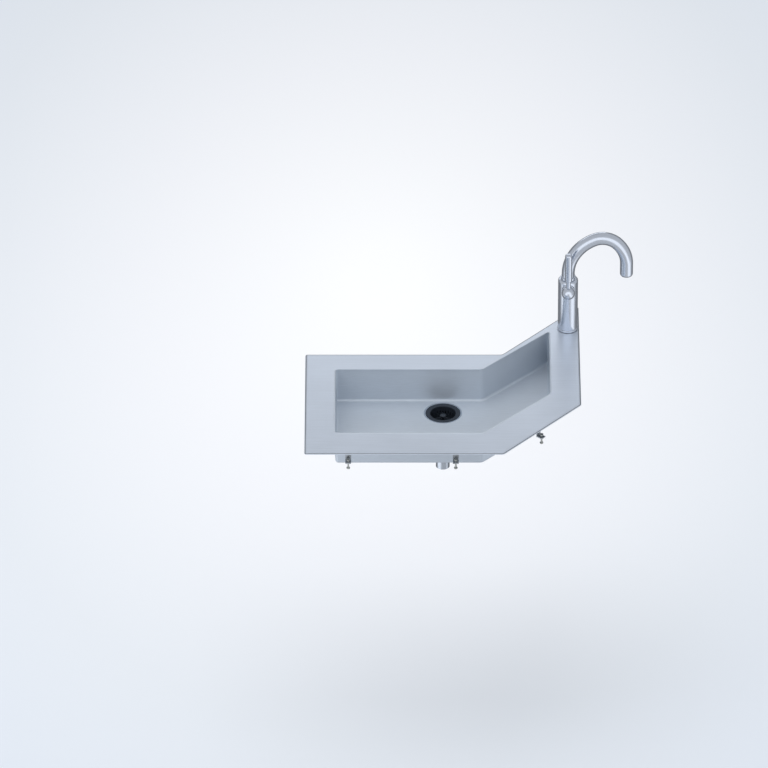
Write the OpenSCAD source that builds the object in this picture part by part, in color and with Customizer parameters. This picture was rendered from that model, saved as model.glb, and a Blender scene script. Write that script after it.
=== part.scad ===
// Corner kitchen sink with a basket strainer waste and a single-lever tap.
// The origin is on the underside of the rim seal, at the middle of the front edge.
// X runs along the front edge, Y away from it, Z up.

/* [Rim] */
// Length of the straight front edge, left end to bend
main_len = 543; // [500:1:600]
// Size from front edge to back edge
sink_depth = 500; // [470:1:540]
// How far the turned end reaches to the right of the bend
wing_x = 215; // [190:1:250]
// How far the turned end climbs away from the front
wing_y = 246; // [220:1:280]
// How far from each corner of the rim its rounding starts
rim_r = 6; // [3:0.5:12]
// Thickness of the steel sheet
sheet_t = 1.2; // [0.8:0.1:1.5]
// Height of the turned-down edge
lip_h = 3.3; // [2.5:0.1:3.6]
// Width of the rim seal
seal_w = 8; // [6:0.5:9]
// Thickness of the rim seal
seal_t = 2.5; // [2:0.1:4]

/* [Bowl] */
// Deck left of the bowl
deck_left = 82; // [60:1:110]
// Deck in front of the bowl
deck_front = 101; // [80:1:120]
// Deck behind the bowl
deck_back = 79; // [70:1:100]
// Deck right of the bowl, where the tap stands
deck_right = 82.5; // [80:0.5:100]
// How far the bend of the bowl lies left of the bend of the rim
bend_set = 55.5; // [50:0.5:80]
// How far the front corner of the turned end lies behind that of the rim
wing_front_set = 53; // [40:1:80]
// How far the back corner of the turned end lies in front of that of the rim
wing_back_set = 129; // [125:1:160]
// Depth of the bowl below the deck
bowl_depth = 100; // [80:1:160]
// How far from each corner of the bowl its rounding starts
bowl_r = 10; // [6:0.5:16]
// Radius between wall and floor
foot_r = 8; // [5:0.5:10]
// How far each wall leans in from top to foot
draft = 2; // [0:0.5:4]

/* [Waste] */
// Distance from the back wall of the bowl to the middle of the drain
drain_back = 65; // [65:1:140]
// Distance from the bend of the bowl to the middle of the drain
drain_bend = 108; // [70:1:200]
// Radius of the drain hole
drain_hole_r = 45; // [44.8:0.1:46]
// Depth of the dish that the flange sits in
dish_d = 3; // [2.5:0.1:4]
// Radius of the strainer flange
flange_r = 52.5; // [51:0.5:53]
// Thickness of the strainer flange
flange_t = 1.8; // [1.6:0.1:2]
// Outside radius of the strainer cup
cup_r = 44.5; // [44:0.1:44.7]
// Depth of the strainer cup
cup_h = 48; // [44:1:60]
// Wall of the strainer cup
cup_t = 1.5; // [1:0.1:2]
// Outside radius of the threaded neck
neck_r = 23.9; // [22:0.1:25]
// Length of the threaded neck
neck_h = 30; // [24:1:40]
// Outside radius of the tailpiece
tail_r = 19.05; // [18:0.05:19.5]
// Length of the tailpiece below its flange
tail_h = 92; // [70:1:150]
// Radius of the basket rim
basket_r = 48.2; // [47:0.1:48.2]
// Depth of the basket
basket_h = 36; // [30:1:38]

/* [Tap] */
// Distance from the right edge of the rim to the tap axis
tap_edge = 32; // [32:0.5:40]
// Distance from the back corner of the rim to the tap axis, along the edge
tap_corner = 113; // [100:1:140]
// Radius of the tap body
body_r = 27.5; // [26:0.5:28.5]
// Height of the tap body above the deck
body_h = 164; // [160:1:180]
// Distance from the top of the tap body down to the cartridge axis
cart_drop = 22; // [21:1:40]
// Radius of the hole in the deck for the tap
tap_hole_r = 17.5; // [17:0.5:18]
// Radius of the threaded shank
shank_r = 16; // [15:0.1:16.5]
// Radius of a water inlet thread
inlet_r = 5; // [4:0.1:5.5]
// Outside radius of the spout tube
tube_r = 18; // [17:0.1:18]
// Wall of the spout tube
tube_t = 2.4; // [1.5:0.1:2.4]
// Rise of the spout from the tap body to the tube centre at its top
spout_rise = 129.8; // [121:0.1:146]
// How far the first bend carries the spout outwards
spout_lean = 35.8; // [30:0.1:40]
// How far the outlet stands outside the curve at the top of the spout
outlet_out = 9; // [7:0.1:28]
// Radius of the tube centre at the top of the spout
crown_r = 58; // [50:0.5:62]
// How far the outer bend drops before it runs straight down
spout_drop = 80; // [74:0.5:90]
// Height of the lower end of the tube above the tap body
outlet_up = 18; // [16:0.5:26]

/* [Lever] */
// Distance from the tap axis to the centre of the ball hub
hub_out = 43; // [42:0.5:46]
// Outside radius of the ball hub
hub_r = 18.5; // [17.5:0.1:19]
// Wall of the ball hub
hub_t = 3; // [2.5:0.1:3]
// Radius of the lever bar
bar_r = 10; // [7:0.1:10]
// Distance from the cartridge axis up to the lower end of the lever bar
bar_up = 40; // [34:1:48]
// Length of the lever bar
bar_len = 86; // [60:1:88]
// Radius of the lever stem
stem_r = 6.5; // [5:0.1:6.5]

/* [Fixings] */
// Thickness of worktop that the clamps grip
grip = 20; // [16:1:42]
// Width of a clamp
clamp_w = 16; // [12:1:24]
// Thickness of a clamp
clamp_t = 3; // [2:0.5:4]
// Radius of a clamp screw
screw_r = 2.5; // [2:0.1:3]

/* [Hidden] */
$fn = 48;

// Running clearance of turned parts, clearance of loose parts, and overrun of cuts
fit = 0.05;
slack = 0.3;
over = 1;

// Heights of the deck
deck_z = seal_t + sheet_t;
seal_line = sheet_t + slack + seal_w / 2;

// Corners of the rim, counter-clockwise from the front left
x0 = -main_len / 2;
x1 = main_len / 2;
x2 = x1 + wing_x;
y0 = -seal_line;
rim_pts = [
  [x0, y0], [x1, y0], [x2, y0 + wing_y],
  [x2, y0 + wing_y + sink_depth], [x1, y0 + sink_depth], [x0, y0 + sink_depth]
];

// Corners of the bowl, in the same order; the fifth one bends inwards
bx1 = x1 - bend_set;
bx2 = x2 - deck_right;
by_back = y0 + sink_depth - deck_back;
bowl_pts = [
  [x0 + deck_left, y0 + deck_front], [bx1, y0 + deck_front],
  [bx2, y0 + wing_y + wing_front_set], [bx2, y0 + wing_y + sink_depth - wing_back_set],
  [bx1, by_back], [x0 + deck_left, by_back]
];

// Outlines: inset a corner list, then round its corners
least_r = sheet_t;
corner_steps = 6;
function unit(v) = v / norm(v);
function turn(a, b) = a[0] * b[1] - a[1] * b[0];
function inward(a, b) = let (u = unit(b - a)) [-u[1], u[0]];
function inset(p, d) = [
  for (i = [0:len(p) - 1])
    let (
      a = p[(i + len(p) - 1) % len(p)], b = p[i], c = p[(i + 1) % len(p)],
      m = inward(a, b), n = inward(b, c)
    ) b + (m + n) * d / (1 + m * n)
];
function rounded(p, r, d) = [
  for (i = [0:len(p) - 1])
    let (
      a = unit(p[(i + len(p) - 1) % len(p)] - p[i]), c = unit(p[(i + 1) % len(p)] - p[i]),
      side = turn(c, a) > 0 ? 1 : -1, half = acos(a * c) / 2,
      rr = max(r * tan(half) - side * d, least_r), hub = p[i] + unit(a + c) * rr / sin(half),
      from = p[i] + a * rr / tan(half) - hub, start = atan2(from[1], from[0])
    )
    for (k = [0:corner_steps])
      let (t = start + side * (180 - 2 * half) * k / corner_steps)
        hub + rr * [cos(t), sin(t)]
];
function loop(p, r, d) = rounded(inset(p, d), r, d);

// Bowl shell: rings from the top edge to the floor, outside first, then inside
floor_z = deck_z - bowl_depth;
foot_steps = 5;
foot_angles = [for (k = [0:foot_steps]) 90 * k / foot_steps];
outer_r = foot_r + sheet_t;
outer_rings = concat(
  [[0, deck_z]],
  [for (a = foot_angles) [draft + outer_r * (1 - cos(a)), floor_z + foot_r - outer_r * sin(a)]]
);
inner_rings = concat(
  [[sheet_t, deck_z]],
  [for (a = foot_angles)
    [draft + sheet_t + foot_r * (1 - cos(a)), floor_z + foot_r - foot_r * sin(a)]]
);

// Drain: its place, and the heights of what is stacked in and under it
drain_x = bx1 - drain_bend;
drain_y = by_back - drain_back;
dish_r = flange_r + slack;
dish_in_r = dish_r - slack / 2;
dish_z = floor_z - dish_d;
under_z = dish_z - sheet_t;
gasket_t = 1;
flange_z = dish_z + gasket_t;
flange_top = flange_z + flange_t;
cup_z = flange_top - cup_h;
neck_z = cup_z - neck_h;
neck_t = 4.4;
neck_in_r = neck_r - neck_t;
step_d = flange_t / 2;
washer_r = flange_r;
washer_t = 3;
friction_t = 1.5;
locknut_h = 12;
locknut_wall = 5.5;
lug_count = 6;
lug_w = 10;
basket_t = 0.9;
basket_top = flange_top - step_d + basket_t;
basket_z = basket_top - basket_h;
basket_mouth_r = 36;
basket_foot_r = 33;
drip_r = 2.2;
drip_rings_share = [0.52, 0.74];
drips_per_ring = 8;
knob_post_r = 3.5;
knob_r = 9;
knob_h = 7;
knob_band_share = [0.6, 0.3];
knob_flat_share = 0.7;
knob_top = basket_top - 6 * basket_t;
rivet_r = 8;
rivet_t = 1.5;
basket_seal_r = 11.5;
basket_seal_t = 2.5;
tail_washer_t = 2.5;
tail_flange_t = 2;
tail_t = 1.5;
tail_flange_z = neck_z - tail_washer_t - tail_flange_t;
tail_lip_r = neck_r - 2 * slack;
nut_wall = 5;
nut_engage = 16;
nut_floor = 2.5;
bead_gap = 6;
bead_h = 3;
bead_out = 0.9;
bead_top = tail_flange_z - nut_floor - bead_gap;
nut_ribs = 10;
rib_w = 4;

// Rails, clamps and pads under the deck: side of the rim, then shares of its length
rail_shares = [[0, 0.12, 0.88], [1, 0.2, 0.85], [2, 0.1, 0.58], [4, 0.14, 0.88], [5, 0.15, 0.85]];
clamp_shares = [
  [0, 0.22], [0, 0.76], [1, 0.52], [2, 0.18], [2, 0.5], [4, 0.24], [4, 0.76], [5, 0.3], [5, 0.7]
];
rail_in = 22;
rail_w = 9;
rail_h = 11;
rail_t = 1.2;
clamp_gap = 8;
clamp_foot = 20;
clamp_drop = grip + clamp_gap;
screw_out = 13;
screw_head_r = 5;
screw_head_h = 4;
screw_len = 26;
pad_t = 3;
pad_w = 120;
pad_edge = 24;
tag_w = 14;
tag_h = 26;
tag_hole_r = 2.6;
tag_in = 44;

// Tap
tap_x = x2 - tap_edge;
tap_y = y0 + wing_y + sink_depth - tap_corner;
cart_h = body_h - cart_drop;
bar_low = cart_h + bar_up;
spout_top = body_h + spout_rise;
spout_end = body_h + outlet_up;
gasket_h = 1.5;
ring_h = 5;
ring_out = 1;
ring_r = body_r + ring_out;
body_z = gasket_h + ring_h;
shoulder_r = 7;
edge_r = 1.5;
arc_steps = 6;
shank_in = 15;
inlet_x = inlet_r + 1.5;
inlet_d = 12;
way_r = 3.5;
bore_r = 12.55;
bore_back = 8;
boss_r = bore_r + 4.5;
boss_out = body_r + 4;
post_r = tube_r - tube_t - 1;
post_h = 20;
post_way_r = 9;
stop_w = 3;
stop_h = 4.6;
stop_d = 1.6;
ring_section = 1.2;
seal_low = 9.8;
seal_high = 14;
slip_t = 0.8;
foot_h = slip_t;
straight_h = 16;
collar_h = 7.2;
collar_t = 2.5;
set_r = 2;
shank_t = 2.8;
shank_low = 70;
stiff_t = 2;
stiff_left = 30;
stiff_right = 21;
stiff_half = 34;
plate_r = 21;
plate_t = 3;
notch_w = 14;
notch_d = 4;
rubber_t = 3;
shank_nut_r = 23;
shank_nut_h = 8;

// Spout centre line: a bend up from the body, the crown, and a bend down to the outlet
spout_peak = spout_lean + crown_r;
spout_reach = spout_peak + crown_r + outlet_out;
tube_sides = 24;
tube_step = 7.5;
bend_z = body_h + straight_h;
up_rise = spout_top - bend_z - crown_r;
up_a = 2 * atan(spout_lean / up_rise);
up_r = crown_r + up_rise / sin(up_a);
down_fall = spout_drop - crown_r;
down_a = 2 * atan(outlet_out / down_fall);
down_r = crown_r + down_fall / sin(down_a);
crown_z = spout_top - crown_r;
down_x = spout_reach - down_r;
down_z = spout_top - spout_drop;

// Aerator
aer_h = 9;
aer_round = 8;
aer_bore = 10;
aer_t = 1.6;
aer_collar = 7;
aer_plug_r = (tube_r - tube_t) * cos(180 / tube_sides) - fit;
insert_h = 5;
screen_t = 0.6;
screen_hole_r = 1;
screen_holes = 8;
screen_share = 0.6;

// Lever
nut_t = 6;
nut_in_r = 8;
cart_front = boss_out - nut_t - 1.5;
carrier_in = 10;
cover_t = 1.3;
cover_cone = 5.2;
cover_r = boss_r - 1.5;
tongue_t = 6;
tongue_w = 12;
tongue_past = 7;
tongue_back = 3;
pin_r = 2;
rear_cut = 1.6;
flat_drop = 1.3;
spigot_r = 3;
spigot_up = 8;
bar_round = 5;
bar_foot = 2;

module place_drain() { translate([drain_x, drain_y, 0]) children(); }
module place_tap() { translate([tap_x, tap_y, deck_z]) children(); }
// A horizontal turned part whose length runs out towards the front from the tap axis
module place_cart(out) { place_tap() translate([0, -out, cart_h]) rotate([90, 0, 0]) children(); }
module tube(r_out, r_in, h) {
  difference() {
    cylinder(r = r_out, h = h);
    translate([0, 0, -over]) cylinder(r = r_in, h = h + 2 * over);
  }
}
module band(p, r, d, w, h) {
  linear_extrude(h) difference() { polygon(loop(p, r, d)); polygon(loop(p, r, d + w)); }
}
// Straight places along one side of the rim, u along it and v inwards
module on_side(i, share) {
  a = rim_pts[i];
  b = rim_pts[(i + 1) % len(rim_pts)];
  translate(concat(a + (b - a) * share, [0]))
    rotate([0, 0, atan2(b[1] - a[1], b[0] - a[0])]) children();
}
function side_len(i) = norm(rim_pts[(i + 1) % len(rim_pts)] - rim_pts[i]);

// Sink
module sink_deck() {
  color("lightsteelblue") difference() {
    union() {
      translate([0, 0, seal_t]) linear_extrude(sheet_t) difference() {
        polygon(loop(rim_pts, rim_r, 0));
        polygon(loop(bowl_pts, bowl_r, 0));
      }
      translate([0, 0, deck_z - lip_h]) band(rim_pts, rim_r, 0, sheet_t, lip_h);
    }
    place_tap() translate([0, 0, -sheet_t - over]) cylinder(r = tap_hole_r, h = sheet_t + 2 * over);
  }
}

module bowl_shell() {
  rings = concat(outer_rings, inner_rings);
  n = len(loop(bowl_pts, bowl_r, 0));
  m = len(outer_rings);
  last = 2 * m - 1;
  points = [for (g = rings) for (p = loop(bowl_pts, bowl_r, g[0])) [p[0], p[1], g[1]]];
  function at(g, i) = g * n + i % n;
  walls = [
    for (g = [0:last - 1]) if (g != m - 1)
      for (i = [0:n - 1])
        for (f = [[at(g, i), at(g, i + 1), at(g + 1, i + 1)], [at(g, i), at(g + 1, i + 1), at(g + 1, i)]])
          g < m ? f : [f[2], f[1], f[0]]
  ];
  edge = [
    for (i = [0:n - 1])
      for (f = [[at(0, i), at(m, i), at(m, i + 1)], [at(0, i), at(m, i + 1), at(0, i + 1)]]) f
  ];
  // The floor is cut into convex faces between the front bend and the back bend
  step = corner_steps + 1;
  front = step;
  back = 5 * step - 1;
  cut = [
    [for (i = [back:n - 1]) i, for (i = [0:front]) i],
    [for (i = [front + corner_steps:back - corner_steps]) i],
    for (k = [0:corner_steps - 1]) [front + k, front + k + 1, back - k - 1, back - k]
  ];
  under = [for (c = cut) [for (i = c) at(m - 1, i)]];
  floor = [for (c = cut) [for (k = [len(c) - 1:-1:0]) at(last, c[k])]];
  polyhedron(points, concat(walls, edge, under, floor));
}

module bowl() {
  color("slategray") union() {
    difference() {
      bowl_shell();
      place_drain() translate([0, 0, floor_z - sheet_t - over])
        cylinder(r = dish_r, h = sheet_t + 2 * over);
    }
    place_drain() rotate_extrude() polygon([
      [dish_r, floor_z], [dish_in_r, dish_z], [drain_hole_r, dish_z],
      [drain_hole_r, under_z], [dish_r, under_z]
    ]);
  }
}

module rim_seal() {
  color("dimgray") band(rim_pts, rim_r, sheet_t + slack, seal_w, seal_t);
}

module rail(length) {
  translate([-length / 2, rail_in, seal_t - rail_h]) difference() {
    cube([length, rail_w, rail_h]);
    translate([-over, rail_t, rail_t]) cube([length + 2 * over, rail_w - 2 * rail_t, rail_h - 2 * rail_t]);
    translate([-over, 2 * rail_t, -over]) cube([length + 2 * over, rail_w - 4 * rail_t, 2 * over + rail_t]);
  }
}
module rim_rails() {
  color("silver") for (s = rail_shares)
    on_side(s[0], (s[1] + s[2]) / 2) rail((s[2] - s[1]) * side_len(s[0]));
}

module clamp() {
  difference() {
    union() {
      translate([-clamp_w / 2, rail_in - clamp_t, -clamp_drop - clamp_t])
        cube([clamp_w, clamp_t, clamp_drop + clamp_t - slack]);
      translate([-clamp_w / 2, rail_in - clamp_foot, -clamp_drop - clamp_t])
        cube([clamp_w, clamp_foot, clamp_t]);
      translate([-clamp_w / 2, rail_in - clamp_t, seal_t - rail_h - clamp_t])
        cube([clamp_w, rail_w + clamp_t, clamp_t]);
    }
    translate([0, rail_in - screw_out, -clamp_drop - clamp_t - over])
      cylinder(r = screw_r + fit, h = clamp_t + 2 * over);
  }
}
module clamp_screw() {
  translate([0, rail_in - screw_out, -grip - screw_len]) cylinder(r = screw_r, h = screw_len);
  translate([0, rail_in - screw_out, -grip - screw_len - screw_head_h])
    cylinder(r = screw_head_r, h = screw_head_h, $fn = 6);
  translate([0, rail_in - screw_out, -grip - clamp_t / 2])
    cylinder(r = screw_head_r, h = clamp_t / 2);
}
module hold_down_clamps() {
  color("gainsboro") for (s = clamp_shares) on_side(s[0], s[1]) clamp();
}
module clamp_screws() {
  color("gray") for (s = clamp_shares) on_side(s[0], s[1]) clamp_screw();
}

module sound_pads() {
  edge = foot_r + pad_edge;
  pad_l = by_back - bowl_pts[0][1] - 2 * edge;
  wing_mid = (bowl_pts[1] + bowl_pts[2] + bowl_pts[3] + bowl_pts[4]) / 4;
  color("darkslategray") translate([0, 0, floor_z - sheet_t - pad_t]) {
    translate([bowl_pts[0][0] + edge, bowl_pts[0][1] + edge, 0]) cube([pad_w, pad_l, pad_t]);
    translate(wing_mid) rotate([0, 0, atan2(wing_y, wing_x)]) translate([-pad_w / 2, -pad_w / 2, 0])
      cube([pad_w, pad_w, pad_t]);
  }
}

module earth_tag() {
  color("goldenrod") on_side(5, 0.5) translate([-tag_w / 2, tag_in, seal_t - tag_h]) difference() {
    cube([tag_w, sheet_t, tag_h]);
    translate([tag_w / 2, -over, tag_w / 2]) rotate([-90, 0, 0])
      cylinder(r = tag_hole_r, h = sheet_t + 2 * over);
  }
}

module tap_stiffener() {
  seal_in = sheet_t + slack + seal_w;
  color("silver") translate([0, 0, seal_t - stiff_t]) difference() {
    intersection() {
      translate([tap_x - stiff_left, tap_y - stiff_half, 0])
        cube([stiff_left + stiff_right, 2 * stiff_half, stiff_t]);
      linear_extrude(stiff_t) polygon(loop(rim_pts, rim_r, seal_in + slack));
    }
    translate([tap_x, tap_y, -over]) cylinder(r = tap_hole_r, h = stiff_t + 2 * over);
  }
}

// Waste
module strainer_body() {
  color("silver") place_drain() rotate_extrude() polygon([
    [basket_r + slack, flange_top], [flange_r, flange_top], [flange_r, flange_z],
    [cup_r, flange_z], [cup_r, cup_z], [neck_r, cup_z], [neck_r, neck_z],
    [neck_in_r, neck_z], [neck_in_r, cup_z + cup_t], [cup_r - cup_t, cup_z + cup_t],
    [cup_r - cup_t, flange_top - step_d], [basket_r + slack, flange_top - step_d]
  ]);
}

module strainer_basket() {
  color("#2a3139") place_drain() difference() {
    rotate_extrude() polygon([
      [knob_post_r + fit, basket_z], [basket_foot_r, basket_z],
      [basket_mouth_r, basket_top - basket_t], [basket_r, basket_top - basket_t],
      [basket_r, basket_top], [basket_mouth_r - basket_t, basket_top],
      [basket_foot_r - basket_t, basket_z + basket_t], [knob_post_r + fit, basket_z + basket_t]
    ]);
    for (share = drip_rings_share)
      for (i = [0:drips_per_ring - 1])
        rotate([0, 0, 360 * (i + share) / drips_per_ring])
          translate([share * basket_foot_r, 0, basket_z - over])
            cylinder(r = drip_r, h = basket_t + 2 * over, $fn = 24);
  }
}

module basket_knob() {
  color("#323a42") place_drain() rotate_extrude() polygon([
    [0, basket_z - basket_seal_t - rivet_t], [rivet_r, basket_z - basket_seal_t - rivet_t],
    [rivet_r, basket_z - basket_seal_t], [knob_post_r, basket_z - basket_seal_t],
    [knob_post_r, knob_top - knob_h], [knob_r, knob_top - knob_h * knob_band_share[0]],
    [knob_r, knob_top - knob_h * knob_band_share[1]], [knob_r * knob_flat_share, knob_top],
    [0, knob_top]
  ]);
}

module basket_seal() {
  color("black") place_drain() translate([0, 0, basket_z - basket_seal_t])
    tube(basket_seal_r, knob_post_r + fit, basket_seal_t);
}

module waste_gasket() {
  color("#222222") place_drain() translate([0, 0, dish_z])
    tube(flange_r - slack, drain_hole_r, gasket_t);
}

module waste_washer() {
  color("#1c1c1c") place_drain() translate([0, 0, under_z - washer_t])
    tube(washer_r, cup_r + slack, washer_t);
}

module friction_ring() {
  color("wheat") place_drain() translate([0, 0, under_z - washer_t - friction_t])
    tube(washer_r - slack, cup_r + slack, friction_t);
}

module waste_locknut() {
  color("gainsboro") place_drain()
    translate([0, 0, under_z - washer_t - friction_t - locknut_h]) difference() {
      union() {
        cylinder(r = cup_r + locknut_wall, h = locknut_h);
        for (i = [0:lug_count - 1]) rotate([0, 0, 360 * i / lug_count])
          translate([cup_r + locknut_wall / 2, -lug_w / 2, 0])
            cube([1.5 * locknut_wall, lug_w, locknut_h / 2]);
      }
      translate([0, 0, -over]) cylinder(r = cup_r + fit, h = locknut_h + 2 * over);
    }
}

module tailpiece_washer() {
  color("#1c1c1c") place_drain() translate([0, 0, neck_z - tail_washer_t])
    tube(tail_lip_r, neck_in_r, tail_washer_t);
}

module tailpiece() {
  color("silver") place_drain() rotate_extrude() polygon([
    [tail_r - tail_t, tail_flange_z + tail_flange_t], [tail_lip_r, tail_flange_z + tail_flange_t],
    [tail_lip_r, tail_flange_z], [tail_r, tail_flange_z], [tail_r, bead_top],
    [tail_r + bead_out, bead_top - bead_h / 3], [tail_r + bead_out, bead_top - 2 * bead_h / 3],
    [tail_r, bead_top - bead_h], [tail_r, tail_flange_z - tail_h],
    [tail_r - tail_t, tail_flange_z - tail_h]
  ]);
}

module coupling_nut() {
  top = neck_z + nut_engage;
  low = tail_flange_z - nut_floor;
  color("whitesmoke") place_drain() difference() {
    union() {
      translate([0, 0, low]) cylinder(r = neck_r + nut_wall, h = top - low);
      for (i = [0:nut_ribs - 1]) rotate([0, 0, 360 * i / nut_ribs])
        translate([neck_r + nut_wall / 2, -rib_w / 2, low])
          cube([(nut_wall + rib_w) / 2, rib_w, top - low]);
    }
    translate([0, 0, tail_flange_z]) cylinder(r = neck_r + fit, h = top - tail_flange_z + over);
    translate([0, 0, low - over]) cylinder(r = tail_r + fit, h = nut_floor + 2 * over);
  }
}

// Tap
function arc(cx, cy, r, from, to) = [
  for (k = [0:arc_steps]) let (t = from + (to - from) * k / arc_steps) [cx + r * cos(t), cy + r * sin(t)]
];
post_top = body_h + post_h;
module tap_body() {
  color("silver") place_tap() difference() {
    union() {
      rotate_extrude() polygon(concat(
        [[0, body_z], [body_r - edge_r, body_z], [body_r, body_z + edge_r]],
        arc(body_r - shoulder_r, body_h - shoulder_r, shoulder_r, 0, 90),
        [[post_r, body_h], [post_r, body_h + stop_w], [post_r - stop_d, body_h + stop_w],
         [post_r - stop_d, body_h + stop_w + stop_h], [post_r, body_h + stop_w + stop_h]],
        [for (s = [seal_low, seal_high]) for (p = [
          [post_r, body_h + s - ring_section], [post_r - stop_d, body_h + s - ring_section],
          [post_r - stop_d, body_h + s + ring_section], [post_r, body_h + s + ring_section]]) p],
        [[post_r, post_top], [0, post_top]]
      ));
      translate([0, 0, cart_h]) rotate([90, 0, 0]) cylinder(r = boss_r, h = boss_out);
    }
    translate([0, bore_back, cart_h]) rotate([90, 0, 0])
      cylinder(r = bore_r, h = bore_back + boss_out + over);
    translate([0, 0, cart_h]) cylinder(r = post_way_r, h = post_top - cart_h + over);
    translate([0, 0, body_z - over]) cylinder(r = shank_r + fit, h = shank_in + over);
    for (side = [-1, 1]) translate([side * inlet_x, 0, body_z + shank_in - over]) {
      cylinder(r = inlet_r, h = inlet_d + over);
      cylinder(r = way_r, h = cart_h - body_z - shank_in + over - bore_r / 2);
    }
  }
}

module base_ring() {
  color("silver") place_tap() translate([0, 0, gasket_h]) rotate_extrude() polygon([
    [shank_r + slack, 0], [ring_r, 0], [ring_r, ring_h - edge_r], [ring_r - edge_r, ring_h],
    [shank_r + slack, ring_h]
  ]);
}
module base_gasket() {
  color("#222222") place_tap() tube(body_r - edge_r, tap_hole_r, gasket_h);
}

// Centre line of the tube as [x, z, heading from upright], one entry for each ring
function bend(cx, cz, r, from, to) = [
  for (k = [0:ceil((to - from) / tube_step)])
    let (t = min(from + k * tube_step, to)) [cx - r * cos(t), cz + r * sin(t), t]
];
function past_first(list) = [for (i = [1:len(list) - 1]) list[i]];
tube_line = concat(
  [[0, body_h + foot_h, 0]],
  bend(up_r, bend_z, up_r, 0, up_a),
  past_first(bend(spout_peak, crown_z, crown_r, up_a, 180 - down_a)),
  past_first(bend(down_x, down_z, down_r, 180 - down_a, 180)),
  [[spout_reach, spout_end, 180]]
);
module spout_tube() {
  n = tube_sides;
  rings = len(tube_line);
  points = [
    for (r = [tube_r, tube_r - tube_t]) for (c = tube_line) for (i = [0:n - 1])
      let (t = 360 * i / n, u = r * cos(t))
        [c[0] + u * cos(c[2]), r * sin(t), c[1] - u * sin(c[2])]
  ];
  function at(shell, g, i) = (shell * rings + g) * n + i % n;
  sides = [
    for (shell = [0, 1]) for (g = [0:rings - 2]) for (i = [0:n - 1])
      for (f = [
        [at(shell, g, i), at(shell, g + 1, i), at(shell, g + 1, i + 1)],
        [at(shell, g, i), at(shell, g + 1, i + 1), at(shell, g, i + 1)]
      ]) shell == 0 ? f : [f[2], f[1], f[0]]
  ];
  ends = [
    for (i = [0:n - 1])
      for (f = [
        [at(0, 0, i), at(0, 0, i + 1), at(1, 0, i + 1)],
        [at(0, 0, i), at(1, 0, i + 1), at(1, 0, i)],
        [at(1, rings - 1, i), at(0, rings - 1, i + 1), at(0, rings - 1, i)],
        [at(1, rings - 1, i), at(1, rings - 1, i + 1), at(0, rings - 1, i + 1)]
      ]) f
  ];
  polyhedron(points, concat(sides, ends));
}
module set_hole(grow) {
  translate([-tube_r - collar_t - over, 0, body_h + stop_w + stop_h / 2]) rotate([0, 90, 0])
    cylinder(r = set_r + grow, h = tube_r);
}
module spout() {
  color("silver") place_tap() difference() {
    spout_tube();
    set_hole(fit);
  }
}
module spout_collar() {
  color("silver") place_tap() difference() {
    translate([0, 0, body_h + foot_h]) tube(tube_r + collar_t, tube_r + fit, collar_h);
    set_hole(fit);
  }
}
module spout_seals() {
  color("#222222") place_tap() for (s = [seal_low, seal_high])
    translate([0, 0, body_h + s]) rotate_extrude()
      translate([post_r - stop_d + ring_section, 0]) circle(r = ring_section, $fn = 24);
}
module spout_bearing() {
  color("white") place_tap() translate([0, 0, body_h]) tube(tube_r - slack, post_r + fit, slip_t);
}
module spout_screw() {
  tip = post_r - stop_d + slack;
  color("gray") place_tap() translate([-tube_r - collar_t + slack, 0, body_h + stop_w + stop_h / 2])
    rotate([0, 90, 0]) cylinder(r = set_r, h = tube_r + collar_t - slack - tip, $fn = 32);
}

module aerator_housing() {
  color("silver") place_tap() translate([spout_reach, 0, spout_end - aer_h]) difference() {
    union() {
      rotate_extrude() polygon(concat(
        [[0, 0]], arc(tube_r - aer_round, aer_round, aer_round, -90, 0),
        [[tube_r, aer_h], [0, aer_h]]
      ));
      cylinder(r = aer_plug_r, h = aer_h + aer_collar);
    }
    translate([0, 0, aer_t]) cylinder(r = aer_bore + aer_t / 2, h = aer_h + aer_collar);
    translate([0, 0, -over]) cylinder(r = aer_bore, h = aer_h);
  }
}
module aerator_insert() {
  color("white") place_tap() translate([spout_reach, 0, spout_end - aer_h + aer_t]) difference() {
    cylinder(r = aer_bore + aer_t / 2 - fit, h = insert_h);
    for (i = [0:screen_holes - 1]) rotate([0, 0, 360 * i / screen_holes])
      translate([screen_share * aer_bore, 0, -over])
        cylinder(r = 2 * screen_hole_r, h = insert_h + 2 * over, $fn = 24);
  }
}
module aerator_screen() {
  color("silver") place_tap() translate([spout_reach, 0, spout_end - aer_h + aer_t + insert_h])
    difference() {
      cylinder(r = aer_bore + aer_t / 2 - fit, h = screen_t);
      for (i = [0:screen_holes - 1]) rotate([0, 0, 360 * i / screen_holes])
        translate([screen_share * aer_bore, 0, -over])
          cylinder(r = screen_hole_r, h = screen_t + 2 * over, $fn = 24);
    }
}

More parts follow.
